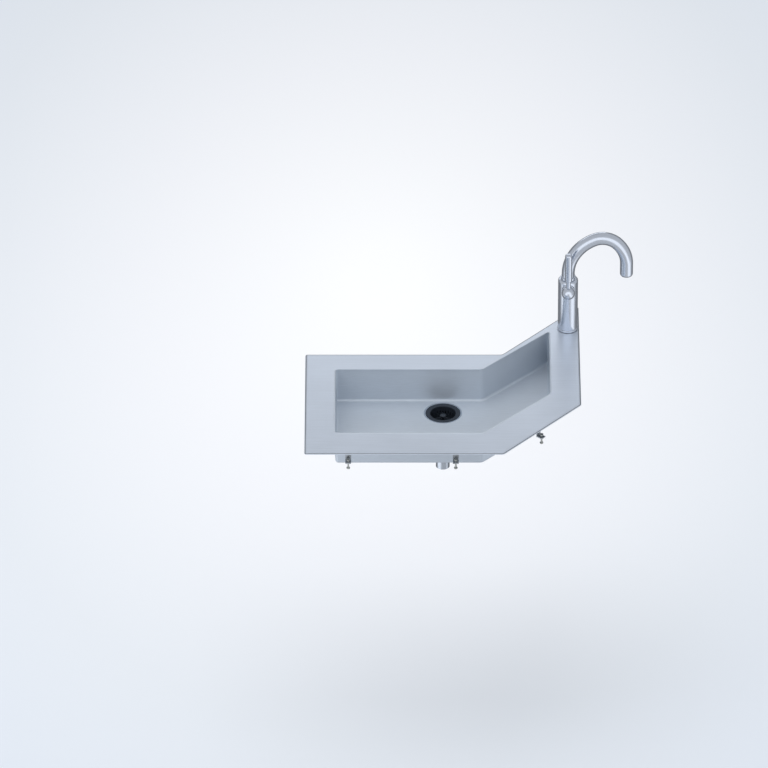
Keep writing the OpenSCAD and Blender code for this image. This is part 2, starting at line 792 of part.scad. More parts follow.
// Lever and cartridge; lengths run out from the tap axis towards the front
module cartridge() {
  color("white") place_cart(screen_t - bore_back) difference() {
    cylinder(r = bore_r - fit, h = bore_back - screen_t + cart_front);
    translate([0, 0, bore_back - screen_t + cart_front - carrier_in])
      cylinder(r = nut_in_r, h = carrier_in + over);
    for (a = [0, 180]) rotate([0, 0, a]) translate([bore_r / 2, 0, -over])
      cylinder(r = way_r, h = 2 * way_r);
  }
}
module cartridge_seal() {
  color("#333333") place_cart(-bore_back) tube(bore_r - fit, bore_r - ring_section, screen_t);
}
module cartridge_nut() {
  color("goldenrod") place_cart(cart_front) difference() {
    cylinder(r = bore_r - fit, h = nut_t);
    translate([0, 0, -over]) cylinder(r = nut_in_r, h = nut_t + 2 * over);
  }
}
module cartridge_cover() {
  color("silver") place_cart(boss_out) difference() {
    union() {
      cylinder(r = cover_r, h = cover_t);
      cylinder(r1 = bore_r - fit, r2 = nut_in_r + sheet_t, h = cover_t + cover_cone);
    }
    translate([0, 0, -over]) cylinder(r = nut_in_r, h = cover_t + cover_cone + 2 * over);
  }
}
carrier_tip = hub_out - tongue_back - cart_front + carrier_in;
module lever_carrier() {
  color("goldenrod") place_cart(cart_front - carrier_in + fit) difference() {
    union() {
      cylinder(r = nut_in_r - fit, h = carrier_tip - tongue_back);
      translate([-tongue_t / 2, -tongue_w / 2, 0])
        cube([tongue_t, tongue_w, carrier_tip + tongue_back + tongue_past]);
    }
    translate([-tongue_t, 0, carrier_tip + tongue_back - fit]) rotate([0, 90, 0])
      cylinder(r = pin_r + fit, h = 2 * tongue_t);
  }
}
module place_hub() { place_tap() translate([0, -hub_out, cart_h]) children(); }
pin_half = hub_r - sheet_t;
module lever_pin() {
  color("gray") place_hub() translate([-pin_half, 0, 0]) rotate([0, 90, 0])
    cylinder(r = pin_r, h = 2 * pin_half, $fn = 32);
}
flat_z = hub_r - flat_drop;
module lever_hub() {
  color("silver") place_hub() difference() {
    sphere(r = hub_r);
    sphere(r = hub_r - hub_t);
    translate([-hub_r - over, rear_cut, -hub_r - over])
      cube([2 * (hub_r + over), hub_r + over, 2 * (hub_r + over)]);
    translate([-hub_r, -hub_r, flat_z]) cube([2 * hub_r, 2 * hub_r, hub_r]);
    cylinder(r = spigot_r + fit, h = hub_r + over);
    translate([-hub_r - over, 0, 0]) rotate([0, 90, 0])
      cylinder(r = pin_r + fit, h = 2 * (hub_r + over));
  }
}
module lever_stem() {
  low = cart_h + flat_z;
  color("silver") place_tap() translate([0, -hub_out, 0]) {
    translate([0, 0, low]) cylinder(r = stem_r, h = bar_low - low);
    translate([0, 0, low - hub_t]) cylinder(r = spigot_r, h = bar_low - low + hub_t + spigot_up);
  }
}
module lever_bar() {
  color("silver") place_tap() translate([0, -hub_out, bar_low]) difference() {
    rotate_extrude() polygon(concat(
      [[0, 0]], arc(bar_r - bar_foot, bar_foot, bar_foot, -90, 0),
      arc(bar_r - bar_round, bar_len - bar_round, bar_round, 0, 90), [[0, bar_len]]
    ));
    translate([0, 0, -over]) cylinder(r = spigot_r + fit, h = spigot_up + over + fit);
  }
}

// Tap fixing under the deck
module mounting_shank() {
  color("goldenrod") place_tap() translate([0, 0, -shank_low])
    tube(shank_r, shank_r - shank_t, shank_low + body_z + shank_in);
}
module under_tap(down, h) { translate([tap_x, tap_y, seal_t - stiff_t - down - h]) children(); }
module shank_washer() {
  color("#222222") under_tap(0, rubber_t) tube(plate_r, shank_r + slack, rubber_t);
}
module shank_plate() {
  color("silver") under_tap(rubber_t, plate_t) difference() {
    tube(plate_r, shank_r + slack, plate_t);
    translate([-plate_r - over, -notch_w / 2, -over])
      cube([over + notch_d, notch_w, plate_t + 2 * over]);
  }
}
module shank_nut() {
  color("goldenrod") under_tap(rubber_t + plate_t, shank_nut_h) difference() {
    cylinder(r = shank_nut_r, h = shank_nut_h, $fn = 6);
    translate([0, 0, -over]) cylinder(r = shank_r + fit, h = shank_nut_h + 2 * over);
  }
}

sink_deck();
bowl();
rim_seal();
rim_rails();
hold_down_clamps();
clamp_screws();
sound_pads();
earth_tag();
tap_stiffener();
strainer_body();
strainer_basket();
basket_knob();
basket_seal();
waste_gasket();
waste_washer();
friction_ring();
waste_locknut();
tailpiece_washer();
coupling_nut();
tailpiece();
tap_body();
base_ring();
base_gasket();
spout();
spout_collar();
spout_seals();
spout_bearing();
spout_screw();
aerator_housing();
aerator_insert();
aerator_screen();
cartridge();
cartridge_seal();
cartridge_nut();
cartridge_cover();
lever_carrier();
lever_pin();
lever_hub();
lever_stem();
lever_bar();
mounting_shank();
shank_washer();
shank_plate();
shank_nut();
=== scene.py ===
"""Corner kitchen sink with a basket strainer waste and a single-lever tap, in its finished look.

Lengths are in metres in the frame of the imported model: X runs along the front edge, Y away
from it and Z up, with the worktop at zero. Each sub-assembly is a class that holds its sizes,
builds its meshes and dresses them; each finish is a class of its own.
"""

import logging
import math
from collections.abc import Callable
from dataclasses import dataclass
from enum import Enum

import bmesh
import bpy
from mathutils import Matrix, Vector


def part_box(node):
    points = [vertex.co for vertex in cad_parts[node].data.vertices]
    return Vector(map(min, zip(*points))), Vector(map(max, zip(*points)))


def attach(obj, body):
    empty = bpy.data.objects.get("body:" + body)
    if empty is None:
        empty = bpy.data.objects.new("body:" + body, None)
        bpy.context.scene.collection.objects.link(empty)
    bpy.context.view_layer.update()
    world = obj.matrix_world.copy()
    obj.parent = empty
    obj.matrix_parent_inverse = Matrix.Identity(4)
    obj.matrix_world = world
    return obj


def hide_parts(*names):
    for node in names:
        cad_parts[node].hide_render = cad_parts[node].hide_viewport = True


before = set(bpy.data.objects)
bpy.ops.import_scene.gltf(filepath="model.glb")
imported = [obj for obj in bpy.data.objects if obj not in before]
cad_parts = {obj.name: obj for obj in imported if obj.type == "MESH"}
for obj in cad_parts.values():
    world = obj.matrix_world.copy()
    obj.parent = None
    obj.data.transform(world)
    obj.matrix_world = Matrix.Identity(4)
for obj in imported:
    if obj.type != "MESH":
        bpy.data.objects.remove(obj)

LOG = logging.getLogger("corner_sink")

MM = 0.001
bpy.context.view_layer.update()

# Angle above which an edge between two faces is drawn as a crease
CREASE_ANGLE = math.radians(32)
# Points closer than this are one point
MERGE_DIST = 0.01 * MM
# Segments of a turned part, of a small turned part, of a rounded edge and of a rounded corner in plan
TURN_STEPS = 64
FINE_STEPS = 24
EDGE_STEPS = 4
CORNER_STEPS = 8
# Segments of a turned thread, of a drip hole and of a hole of the aerator
THREAD_STEPS = 40
DRIP_STEPS = 14
JET_STEPS = 10
# How far from a corner its rounding starts, from a corner only freed of its burr to a soft shoulder
CRISP = 0.2 * MM
BROKEN = 0.3 * MM
EASED = 0.4 * MM
SMOOTH = 0.5 * MM
BLUNT = 0.6 * MM
ROUND = 0.8 * MM
SOFT = 1.2 * MM


class Body(Enum):
    """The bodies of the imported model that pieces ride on."""

    ROOT = "root"
    BASKET = "basket"
    SPOUT = "spout"
    MIXER = "mixer"
    LEVER = "lever"


class Socket:
    """An output socket that takes part in Python sums, so that shader maths reads as maths."""

    def __init__(self, shader: "Shader", out: bpy.types.NodeSocket) -> None:
        """Keeps the shader that new Math nodes go to and the output socket."""
        self.shader = shader
        self.out = out

    def _math(self, operation: str, left: "Socket | float", right: "Socket | float") -> "Socket":
        """Adds one Math node on two values and returns its result."""
        return self.shader.node("ShaderNodeMath", {"operation": operation}, {0: left, 1: right})

    def __add__(self, other: "Socket | float") -> "Socket":
        """Sum."""
        return self._math("ADD", self, other)

    def __radd__(self, other: float) -> "Socket":
        """Sum with a number on the left."""
        return self._math("ADD", other, self)

    def __sub__(self, other: "Socket | float") -> "Socket":
        """Difference."""
        return self._math("SUBTRACT", self, other)

    def __rsub__(self, other: float) -> "Socket":
        """Difference with a number on the left."""
        return self._math("SUBTRACT", other, self)

    def __mul__(self, other: "Socket | float") -> "Socket":
        """Product."""
        return self._math("MULTIPLY", self, other)

    def __rmul__(self, other: float) -> "Socket":
        """Product with a number on the left."""
        return self._math("MULTIPLY", other, self)

    def __truediv__(self, other: "Socket | float") -> "Socket":
        """Quotient."""
        return self._math("DIVIDE", self, other)

    def __abs__(self) -> "Socket":
        """Size without its sign."""
        return self.shader.node("ShaderNodeMath", {"operation": "ABSOLUTE"}, {0: self})

    def __gt__(self, other: "Socket | float") -> "Socket":
        """One where this value is the larger, zero elsewhere."""
        return self._math("GREATER_THAN", self, other)


class Shader:
    """Adds nodes to one node tree."""

    def __init__(self, tree: bpy.types.NodeTree) -> None:
        """Empties the tree and keeps it."""
        self.tree = tree
        tree.nodes.clear()

    def node(self, kind: str, settings: dict | None = None, inputs: dict | None = None,
             output: int | str = 0) -> "Socket | None":
        """Adds one node.

        Args:
            kind: The node's type, such as ShaderNodeTexNoise.
            settings: Properties that are set first; stops holds a ramp's (place, colour) pairs.
            inputs: A value or a Socket for each input, by name or number.
            output: The output that is returned.

        Returns:
            The chosen output as a Socket, or None from a node that has no output.
        """
        node = self.tree.nodes.new(kind)
        for name, value in (settings or {}).items():
            if name == "stops":
                self._set_stops(node.color_ramp, value)
            else:
                setattr(node, name, value)
        for key, value in (inputs or {}).items():
            if isinstance(value, Socket):
                self.tree.links.new(value.out, node.inputs[key])
            else:
                node.inputs[key].default_value = value
        return Socket(self, node.outputs[output]) if node.outputs else None

    @staticmethod
    def _set_stops(ramp: bpy.types.ColorRamp, stops: list[tuple[float, tuple]]) -> None:
        """Gives a colour ramp its stops."""
        while len(ramp.elements) < len(stops):
            ramp.elements.new(1.0)
        for element, (place, colour) in zip(ramp.elements, stops):
            element.position = place
            element.color = colour

    def place(self, scale: tuple[float, float, float] = (1, 1, 1), turn: float = 0.0) -> Socket:
        """Object coordinates in metres, scaled and turned about Z by a Mapping node."""
        coords = self.node("ShaderNodeTexCoord", output="Object")
        return self.node("ShaderNodeMapping", None,
                         {"Vector": coords, "Scale": scale, "Rotation": (0, 0, turn)})

    def axis(self, vector: Socket, name: str) -> Socket:
        """One component, X, Y or Z, of a vector."""
        return self.node("ShaderNodeSeparateXYZ", None, {0: vector}, name)

    def noise(self, vector: Socket, scale: float, detail: float = 2.0) -> Socket:
        """Noise about 0.5 with that many cells to a metre."""
        return self.node("ShaderNodeTexNoise", None,
                         {"Vector": vector, "Scale": scale, "Detail": detail}, "Fac")

    def ramp(self, value: Socket, low: float, high: float) -> Socket:
        """Zero below low, one above high, smooth between."""
        return self.node("ShaderNodeMapRange", {"interpolation_type": "SMOOTHSTEP"},
                         {"Value": value, "From Min": low, "From Max": high})

    def mix(self, factor: Socket, first: tuple | Socket, second: tuple | Socket) -> Socket:
        """Mixes two colours."""
        return self.node("ShaderNodeMix", {"data_type": "RGBA"}, {0: factor, 6: first, 7: second}, 2)

    def bump(self, height: Socket, strength: float, distance: float) -> Socket:
        """Normal of a surface raised by a height."""
        return self.node("ShaderNodeBump", None,
                         {"Height": height, "Strength": strength, "Distance": distance})


def linear(red: int, green: int, blue: int) -> tuple[float, float, float, float]:
    """Turns a colour given as 0 to 255 on screen into the linear one that nodes take."""
    def channel(value: int) -> float:
        """One channel, by the screen's curve."""
        share = value / 255
        return share / 12.92 if share <= 0.04045 else ((share + 0.055) / 1.055) ** 2.4
    return (channel(red), channel(green), channel(blue), 1.0)


def shaded(colour: tuple, factor: float) -> tuple[float, float, float, float]:
    """A colour made lighter or darker by a factor."""
    return (colour[0] * factor, colour[1] * factor, colour[2] * factor, 1.0)


# Where something starts to show, and where it shows in full
Band = tuple[float, float]


def centred(pattern: Socket, amount: float) -> Socket:
    """A pattern about 0.5, turned into one about zero of some amount."""
    return (pattern - 0.5) * amount


@dataclass(frozen=True)
class Finish:
    """A plain surface: the base of every finish.

    Attributes:
        name: The material's name.
        slot: The record's material slot.
        colour: Linear base colour.
        roughness: Mean roughness.
        metallic: One for bare metal.
    """

    name: str
    slot: str
    colour: tuple[float, float, float, float]
    roughness: float
    metallic: float = 0.0

    def surface(self, shader: Shader) -> dict[str, object]:
        """Inputs of the Principled node, by name. Each finish adds its own pattern."""
        return {"Base Color": self.colour, "Roughness": self.roughness, "Metallic": self.metallic}

    def material(self) -> bpy.types.Material:
        """The finish as a material, made once."""
        found = bpy.data.materials.get(self.name)
        if found is None:
            found = bpy.data.materials.new(self.name)
            found.use_nodes = True
            shader = Shader(found.node_tree)
            bsdf = shader.node("ShaderNodeBsdfPrincipled", None, self.surface(shader), "BSDF")
            shader.node("ShaderNodeOutputMaterial", None, {"Surface": bsdf})
        return found


@dataclass(frozen=True)
class BrushedSteel(Finish):
    """Stainless sheet brushed along one direction, with faint cloudiness from wiping.

    Attributes:
        metallic: One for bare metal.
        turn: Direction of the brushing in plan, from X.
        line_length: Mean length of a brush line.
        line_width: Mean width of a brush line.
        contrast: How much lighter and darker the lines are.
        bands: Cells of the broad bands to a metre, along and across the brushing.
        clouds: Cells of the clouds to a metre.
        shares: Shares of lines, bands and clouds in the tone.
        tone: Where the tone starts and ends to turn light.
        gloss: How much lines and clouds change the roughness.
        relief: Strength and height of the lines.
    """

    metallic: float = 1.0
    turn: float = 0.0
    line_length: float = 90 * MM
    line_width: float = 0.5 * MM
    contrast: float = 0.06
    bands: tuple[float, float] = (1.2, 9.0)
    clouds: float = 7.0
    shares: tuple[float, float, float] = (0.55, 0.2, 0.25)
    tone: Band = (0.36, 0.64)
    gloss: tuple[float, float] = (0.14, 0.1)
    relief: tuple[float, float] = (0.12, 0.05 * MM)

    def surface(self, shader: Shader) -> dict[str, object]:
        """Lines in colour, roughness and height, over slow clouds."""
        across = 1 / self.line_width
        lines = shader.noise(shader.place((1 / self.line_length, across, across), self.turn), 1.0, 3.0)
        bands = shader.noise(shader.place((self.bands[0], self.bands[1], self.bands[1]), self.turn), 1.0)
        clouds = shader.noise(shader.place(), self.clouds, 3.0)
        shade = lines * self.shares[0] + bands * self.shares[1] + clouds * self.shares[2]
        colour = shader.mix(shader.ramp(shade, *self.tone), shaded(self.colour, 1 - self.contrast),
                            shaded(self.colour, 1 + self.contrast))
        roughness = self.roughness + centred(lines, self.gloss[0]) + centred(clouds, self.gloss[1])
        return {"Base Color": colour, "Roughness": roughness, "Metallic": self.metallic,
                "Normal": shader.bump(lines, *self.relief)}


@dataclass(frozen=True)
class SatinMetal(Finish):
    """Metal with an even satin or polished skin, fine crossing scuffs and a few dull spots.

    Attributes:
        metallic: One for bare metal.
        scuff: Mean width of a scuff.
        contrast: How much lighter and darker the skin gets.
        stretch: How many times longer than wide a rising and a lying scuff is.
        lean: How far the lying scuffs are turned.
        clouds: Cells of the clouds to a metre.
        shares: Shares of rising scuffs, lying scuffs and clouds in the tone.
        tone: Where the tone starts and ends to turn light.
        dull: Where the clouds start and end to dull the skin.
        gloss: How much rising scuffs, lying scuffs and dull spots change the roughness.
        relief: Strength and height of the scuffs.
    """

    metallic: float = 1.0
    scuff: float = 0.8 * MM
    contrast: float = 0.04
    stretch: tuple[float, float] = (12.0, 9.0)
    lean: float = 0.5
    clouds: float = 16.0
    shares: tuple[float, float, float] = (0.35, 0.35, 0.3)
    tone: Band = (0.38, 0.62)
    dull: Band = (0.55, 0.8)
    gloss: tuple[float, float, float] = (0.08, 0.06, 0.08)
    relief: tuple[float, float] = (0.05, 0.05 * MM)

    def surface(self, shader: Shader) -> dict[str, object]:
        """Scuffs in two directions, over clouds that dull the skin."""
        fine = 1 / self.scuff
        rising = shader.noise(shader.place((fine, fine, fine / self.stretch[0])), 1.0)
        lying = shader.noise(shader.place((fine / self.stretch[1], fine, fine), self.lean), 1.0)
        clouds = shader.noise(shader.place(), self.clouds, 4.0)
        shade = rising * self.shares[0] + lying * self.shares[1] + clouds * self.shares[2]
        colour = shader.mix(shader.ramp(shade, *self.tone), shaded(self.colour, 1 - self.contrast),
                            shaded(self.colour, 1 + self.contrast))
        roughness = self.roughness + centred(rising, self.gloss[0]) + centred(lying, self.gloss[1])
        roughness = roughness + shader.ramp(clouds, *self.dull) * self.gloss[2]
        return {"Base Color": colour, "Roughness": roughness, "Metallic": self.metallic,
                "Normal": shader.bump(shade, *self.relief)}


@dataclass(frozen=True)
class Galvanised(Finish):
    """Zinc-coated steel with its crystal pattern and white bloom.

    Attributes:
        metallic: One for bare metal.
        crystal: Mean size of a zinc crystal.
        tones: Factors for the darkest crystal, the lightest crystal and the bloom.
        blooms: Cells of the bloom to a metre.
        bloom: Where the bloom starts and ends to show.
        gloss: How much crystals and bloom change the roughness.
        dulling: How much of the metal the bloom hides.
        relief: Strength and height of the crystals.
    """

    metallic: float = 1.0
    crystal: float = 5 * MM
    tones: tuple[float, float, float] = (0.78, 1.12, 1.05)
    blooms: float = 60.0
    bloom: Band = (0.5, 0.72)
    gloss: tuple[float, float] = (0.2, 0.25)
    dulling: float = 0.55
    relief: tuple[float, float] = (0.08, 0.1 * MM)

    def surface(self, shader: Shader) -> dict[str, object]:
        """Crystals with their own grey and gloss, and dull patches."""
        cells = shader.node("ShaderNodeTexVoronoi", {"feature": "F1"},
                            {"Vector": shader.place(), "Scale": 1 / self.crystal}, "Color")
        tone = shader.axis(cells, "X")
        bloom = shader.ramp(shader.noise(shader.place(), self.blooms, 5.0), *self.bloom)
        dark, light, chalk = (shaded(self.colour, factor) for factor in self.tones)
        colour = shader.mix(bloom, shader.mix(tone, dark, light), chalk)
        roughness = self.roughness + centred(tone, self.gloss[0]) + bloom * self.gloss[1]
        return {"Base Color": colour, "Roughness": roughness,
                "Metallic": self.metallic - bloom * self.dulling, "Normal": shader.bump(tone, *self.relief)}


@dataclass(frozen=True)
class Coating(Finish):
    """Dark baked coating with orange peel, fine flecks and rubbed high spots.

    Attributes:
        fleck: Mean size of a fleck.
        fleck_colour: Colour of the flecks and rubbed spots.
        fleck_limit: How rare the flecks are, up to one.
        peel: Cells of the orange peel to a metre.
        rubs: Cells of the rubbed spots to a metre.
        rub: Where the rubbed spots start and end to show.
        shares: How strongly flecks and rubbed spots show.
        gloss: How much peel and rubbed spots change the roughness.
        relief: Strength and height of the peel.
    """

    fleck: float = 0.5 * MM
    fleck_colour: tuple[float, float, float, float] = linear(96, 106, 118)
    fleck_limit: float = 0.66
    peel: float = 900.0
    rubs: float = 55.0
    rub: Band = (0.56, 0.8)
    shares: tuple[float, float] = (0.35, 0.2)
    gloss: tuple[float, float] = (0.1, 0.1)
    relief: tuple[float, float] = (0.15, 0.1 * MM)

    def surface(self, shader: Shader) -> dict[str, object]:
        """Peel in height, flecks and rubbed spots in colour."""
        peel = shader.noise(shader.place(), self.peel)
        flecks = shader.noise(shader.place(), 1 / self.fleck, 1.0) > self.fleck_limit
        rubbed = shader.ramp(shader.noise(shader.place(), self.rubs, 4.0), *self.rub)
        shown = flecks * self.shares[0] + rubbed * self.shares[1]
        roughness = self.roughness + centred(peel, self.gloss[0]) + rubbed * self.gloss[1]
        return {"Base Color": shader.mix(shown, self.colour, self.fleck_colour), "Roughness": roughness,
                "Metallic": self.metallic, "Normal": shader.bump(peel, *self.relief)}


@dataclass(frozen=True)
class Rubber(Finish):
    """Moulded rubber: matt, faintly mottled, with dust that lies lighter.

    Attributes:
        dust_colour: Colour of the dust and bloom.
        grain: Cells of the grain to a metre.
        blooms: Cells of the bloom to a metre.
        bloom: Where the bloom starts and ends to show.
        share: How strongly it shows.
        gloss: How much the grain changes the roughness.
        relief: Strength and height of the grain.
    """

    dust_colour: tuple[float, float, float, float] = linear(88, 90, 92)
    grain: float = 2600.0
    blooms: float = 90.0
    bloom: Band = (0.48, 0.8)
    share: float = 0.5
    gloss: float = 0.12
    relief: tuple[float, float] = (0.2, 0.08 * MM)

    def surface(self, shader: Shader) -> dict[str, object]:
        """Fine grain in height, bloom in colour."""
        grain = shader.noise(shader.place(), self.grain)
        bloom = shader.ramp(shader.noise(shader.place(), self.blooms, 5.0), *self.bloom)
        return {"Base Color": shader.mix(bloom * self.share, self.colour, self.dust_colour),
                "Roughness": self.roughness + centred(grain, self.gloss), "Metallic": self.metallic,
                "Normal": shader.bump(grain, *self.relief)}


@dataclass(frozen=True)
class MouldedPlastic(Finish):
    """Injection-moulded plastic: a faint spark grain and slow flow marks.

    Attributes:
        spark: Cells of the grain to a metre.
        flow: Cells of the flow marks to a metre, along X, Y and Z.
        marks: Where the flow marks start and end to turn light.
        shade: Factor for the dark flow marks.
        gloss: How much the flow marks change the roughness.
        relief: Strength and height of the grain.
    """

    spark: float = 1800.0
    flow: tuple[float, float, float] = (30.0, 30.0, 90.0)
    marks: Band = (0.35, 0.7)
    shade: float = 0.93
    gloss: float = 0.12
    relief: tuple[float, float] = (0.1, 0.05 * MM)

    def surface(self, shader: Shader) -> dict[str, object]:
        """Spark grain in height, flow marks in colour and gloss."""
        spark = shader.noise(shader.place(), self.spark, 1.0)
        flow = shader.noise(shader.place(self.flow), 1.0)
        colour = shader.mix(shader.ramp(flow, *self.marks), shaded(self.colour, self.shade), self.colour)
        return {"Base Color": colour, "Roughness": self.roughness + centred(flow, self.gloss),
                "Metallic": self.metallic, "Normal": shader.bump(spark, *self.relief)}


@dataclass(frozen=True)
class Fibre(Finish):
    """Pressed fibre board with visible fibres and a rough face.

    Attributes:
        cells: Cells of the fibres to a metre: along a fibre, across it and in height.
        turns: How far the two layers of fibres are turned.
        fibres: Where the fibres start and end to turn light.
        specks: Cells of the specks to a metre.
        speck_limit: How rare the specks are, up to one.
        speck_share: How strongly they show.
        tones: Factors for the dark fibres and the specks.
        relief: Strength and height of the fibres.
    """

    cells: tuple[float, float, float] = (90.0, 1500.0, 900.0)
    turns: tuple[float, float] = (0.4, 0.2)
    fibres: Band = (0.35, 0.65)
    specks: float = 700.0
    speck_limit: float = 0.68
    speck_share: float = 0.5
    tones: tuple[float, float] = (0.72, 0.4)
    relief: tuple[float, float] = (0.4, 0.1 * MM)

    def surface(self, shader: Shader) -> dict[str, object]:
        """Fibres along two directions and dark specks."""
        long, wide, high = self.cells
        along = shader.noise(shader.place((long, wide, high), self.turns[0]), 1.0)
        across = shader.noise(shader.place((wide, long, high), self.turns[1]), 1.0)
        specks = shader.noise(shader.place(), self.specks, 1.0) > self.speck_limit
        dark, speck = (shaded(self.colour, factor) for factor in self.tones)
        colour = shader.mix(shader.ramp((along + across) * 0.5, *self.fibres), dark, self.colour)
        return {"Base Color": shader.mix(specks * self.speck_share, colour, speck),
                "Roughness": self.roughness, "Metallic": self.metallic,
                "Normal": shader.bump(along * across, *self.relief)}


@dataclass(frozen=True)
class DampingSheet(Finish):
    """Bitumen damping sheet, pressed with a fine diamond pattern.

    Attributes:
        pitch: Distance between the pressed lines.
        lines: Where the ground between the lines starts and ends.
        cells: Cells of the mottle to a metre.
        mottle: Where the mottle starts and ends to turn light.
        tones: Factors for the dark mottle, the light mottle and the lines.
        share: How strongly the lines show.
        gloss: How much the mottle changes the roughness.
        rough: Height of the mottle, as a share of the lines' height.
        relief: Strength and height of the lines.
    """

    pitch: float = 6 * MM
    lines: Band = (0.1, 0.5)
    cells: float = 150.0
    mottle: Band = (0.35, 0.7)
    tones: tuple[float, float, float] = (0.75, 1.2, 0.6)
    share: float = 0.6
    gloss: float = 0.15
    rough: float = 0.3
    relief: tuple[float, float] = (0.5, 0.3 * MM)

    def surface(self, shader: Shader) -> dict[str, object]:
        """Diamond lines in height, mottled grey in colour."""
        grid = shader.place((math.pi / self.pitch,) * 3, math.pi / 4)
        waves = [shader.node("ShaderNodeMath", {"operation": "SINE"}, {0: shader.axis(grid, name)})
                 for name in ("X", "Y")]
        lines = shader.ramp((waves[0] * waves[0] + waves[1] * waves[1]) * 0.5, *self.lines)
        mottle = shader.noise(shader.place(), self.cells, 4.0)
        dark, light, line = (shaded(self.colour, factor) for factor in self.tones)
        colour = shader.mix(shader.ramp(mottle, *self.mottle), dark, light)
        return {"Base Color": shader.mix(lines * self.share, line, colour),
                "Roughness": self.roughness + centred(mottle, self.gloss), "Metallic": self.metallic,
                "Normal": shader.bump(lines + mottle * self.rough, *self.relief)}


DECK_STEEL = BrushedSteel("deck_brushed_steel", "deck_steel", linear(201, 209, 220), 0.34, 0.7)
BOWL_STEEL = BrushedSteel("bowl_satin_steel", "bowl_steel", linear(196, 204, 213), 0.48, 0.5,
                          line_length=25 * MM, line_width=0.7 * MM, contrast=0.05)
STRAINER_STEEL = SatinMetal("strainer_polished_steel", "strainer_steel", linear(196, 203, 212), 0.22)
TAP_CHROME = SatinMetal("tap_satin_chrome", "tap_chrome", linear(214, 220, 230), 0.22, contrast=0.03)
GALVANISED = Galvanised("galvanised_steel", "galvanised", linear(170, 175, 180), 0.38)
ZINC = SatinMetal("zinc_plated_screw", "zinc_screw", linear(178, 180, 176), 0.3, contrast=0.08)
BRASS = SatinMetal("turned_brass", "brass", linear(206, 168, 92), 0.26, contrast=0.08)
DARK_COATING = Coating("strainer_dark_coating", "dark_coating", linear(42, 49, 59), 0.42, 0.35)
RUBBER = Rubber("black_rubber", "seal_rubber", linear(38, 39, 41), 0.72)
PLASTIC = MouldedPlastic("pale_moulded_plastic", "pale_plastic", linear(226, 228, 226), 0.38)
FIBRE = Fibre("pressed_fibre", "fibre", linear(196, 168, 128), 0.85)
DAMPING = DampingSheet("pressed_damping_sheet", "damping_pad", linear(62, 66, 70), 0.8)

# A corner of a turned outline: its radius, its height and how far from it its rounding starts
Corner = tuple[float, float, float]


def turned(outline: list[Corner], closed: bool = True, steps: int = TURN_STEPS) -> bmesh.types.BMesh:
    """Turns an outline about the Z axis.

    Args:
        outline: The outline's corners as radius, height and rounding.
        closed: Whether the last corner is joined to the first.
        steps: Faces round the axis.

    Returns:
        A new mesh with its seam and poles merged and its faces outwards.
    """
    bm = bmesh.new()
    verts = [bm.verts.new((radius, 0.0, height)) for radius, height, _ in outline]
    for first, second in zip(verts, verts[1:]):
        bm.edges.new((first, second))
    if closed:
        bm.edges.new((verts[-1], verts[0]))
    for vert, (_, _, rounding) in zip(verts, outline):
        if rounding:
            bmesh.ops.bevel(bm, geom=[vert], offset=rounding, segments=EDGE_STEPS, profile=0.5,
                            affect="VERTICES", material=-1)
    bmesh.ops.spin(bm, geom=bm.verts[:] + bm.edges[:], cent=(0, 0, 0), axis=(0, 0, 1), dvec=(0, 0, 0),
                   angle=math.tau, steps=steps, use_merge=True, use_duplicate=False)
    return tidied(bm)


def tidied(bm: bmesh.types.BMesh) -> bmesh.types.BMesh:
    """Merges a mesh's doubles and turns its faces outwards."""
    bmesh.ops.remove_doubles(bm, verts=bm.verts[:], dist=MERGE_DIST)
    bmesh.ops.dissolve_degenerate(bm, edges=bm.edges[:], dist=MERGE_DIST / 10)
    bmesh.ops.recalc_face_normals(bm, faces=bm.faces[:])
    return bm


def rounded_block(size: tuple[float, float, float], low: tuple[float, float, float],
                  rounding: float) -> bmesh.types.BMesh:
    """A block with its lowest corner at a point and all edges rounded."""
    bm = bmesh.new()
    bmesh.ops.create_cube(bm, size=1.0)
    bmesh.ops.translate(bm, vec=(0.5, 0.5, 0.5), verts=bm.verts[:])
    bmesh.ops.scale(bm, vec=size, verts=bm.verts[:])
    bmesh.ops.translate(bm, vec=low, verts=bm.verts[:])
    bmesh.ops.bevel(bm, geom=bm.edges[:], offset=rounding, segments=2, profile=0.5, affect="EDGES",
                    material=-1)
    return bm


def joined(meshes: list[bmesh.types.BMesh]) -> bmesh.types.BMesh:
    """Gathers meshes into the first one and frees the others."""
    for other in meshes[1:]:
        loose = bpy.data.meshes.new("loose")
        other.to_mesh(loose)
        other.free()
        meshes[0].from_mesh(loose)
        bpy.data.meshes.remove(loose)
    return meshes[0]


def moved(bm: bmesh.types.BMesh, matrix: Matrix) -> bmesh.types.BMesh:
    """Moves a whole mesh by a matrix."""
    bmesh.ops.transform(bm, matrix=matrix, verts=bm.verts[:])
    return bm


def outward(bm: bmesh.types.BMesh, side: Vector) -> None:
    """Turns an open shell outwards, as its furthest face towards a side shows."""
    bmesh.ops.recalc_face_normals(bm, faces=bm.faces[:])
    probe = max(bm.faces, key=lambda face: face.calc_center_median().dot(side))
    if probe.normal.dot(side) < 0:
        bmesh.ops.reverse_faces(bm, faces=bm.faces[:])


def cylinder(radius: float, low: float, high: float, steps: int = TURN_STEPS) -> bmesh.types.BMesh:
    """A closed cylinder about the Z axis."""
    return turned([(0, low, 0), (radius, low, 0), (radius, high, 0), (0, high, 0)], closed=False, steps=steps)


def drill(radius: float, length: float, at: tuple[float, float, float], steps: int) -> bmesh.types.BMesh:
    """A round cutter about a point, with few faces, for holes in numbers."""
    bm = bmesh.new()
    bmesh.ops.create_cone(bm, cap_ends=True, segments=steps, radius1=radius, radius2=radius, depth=length)
    return moved(bm, Matrix.Translation(at))


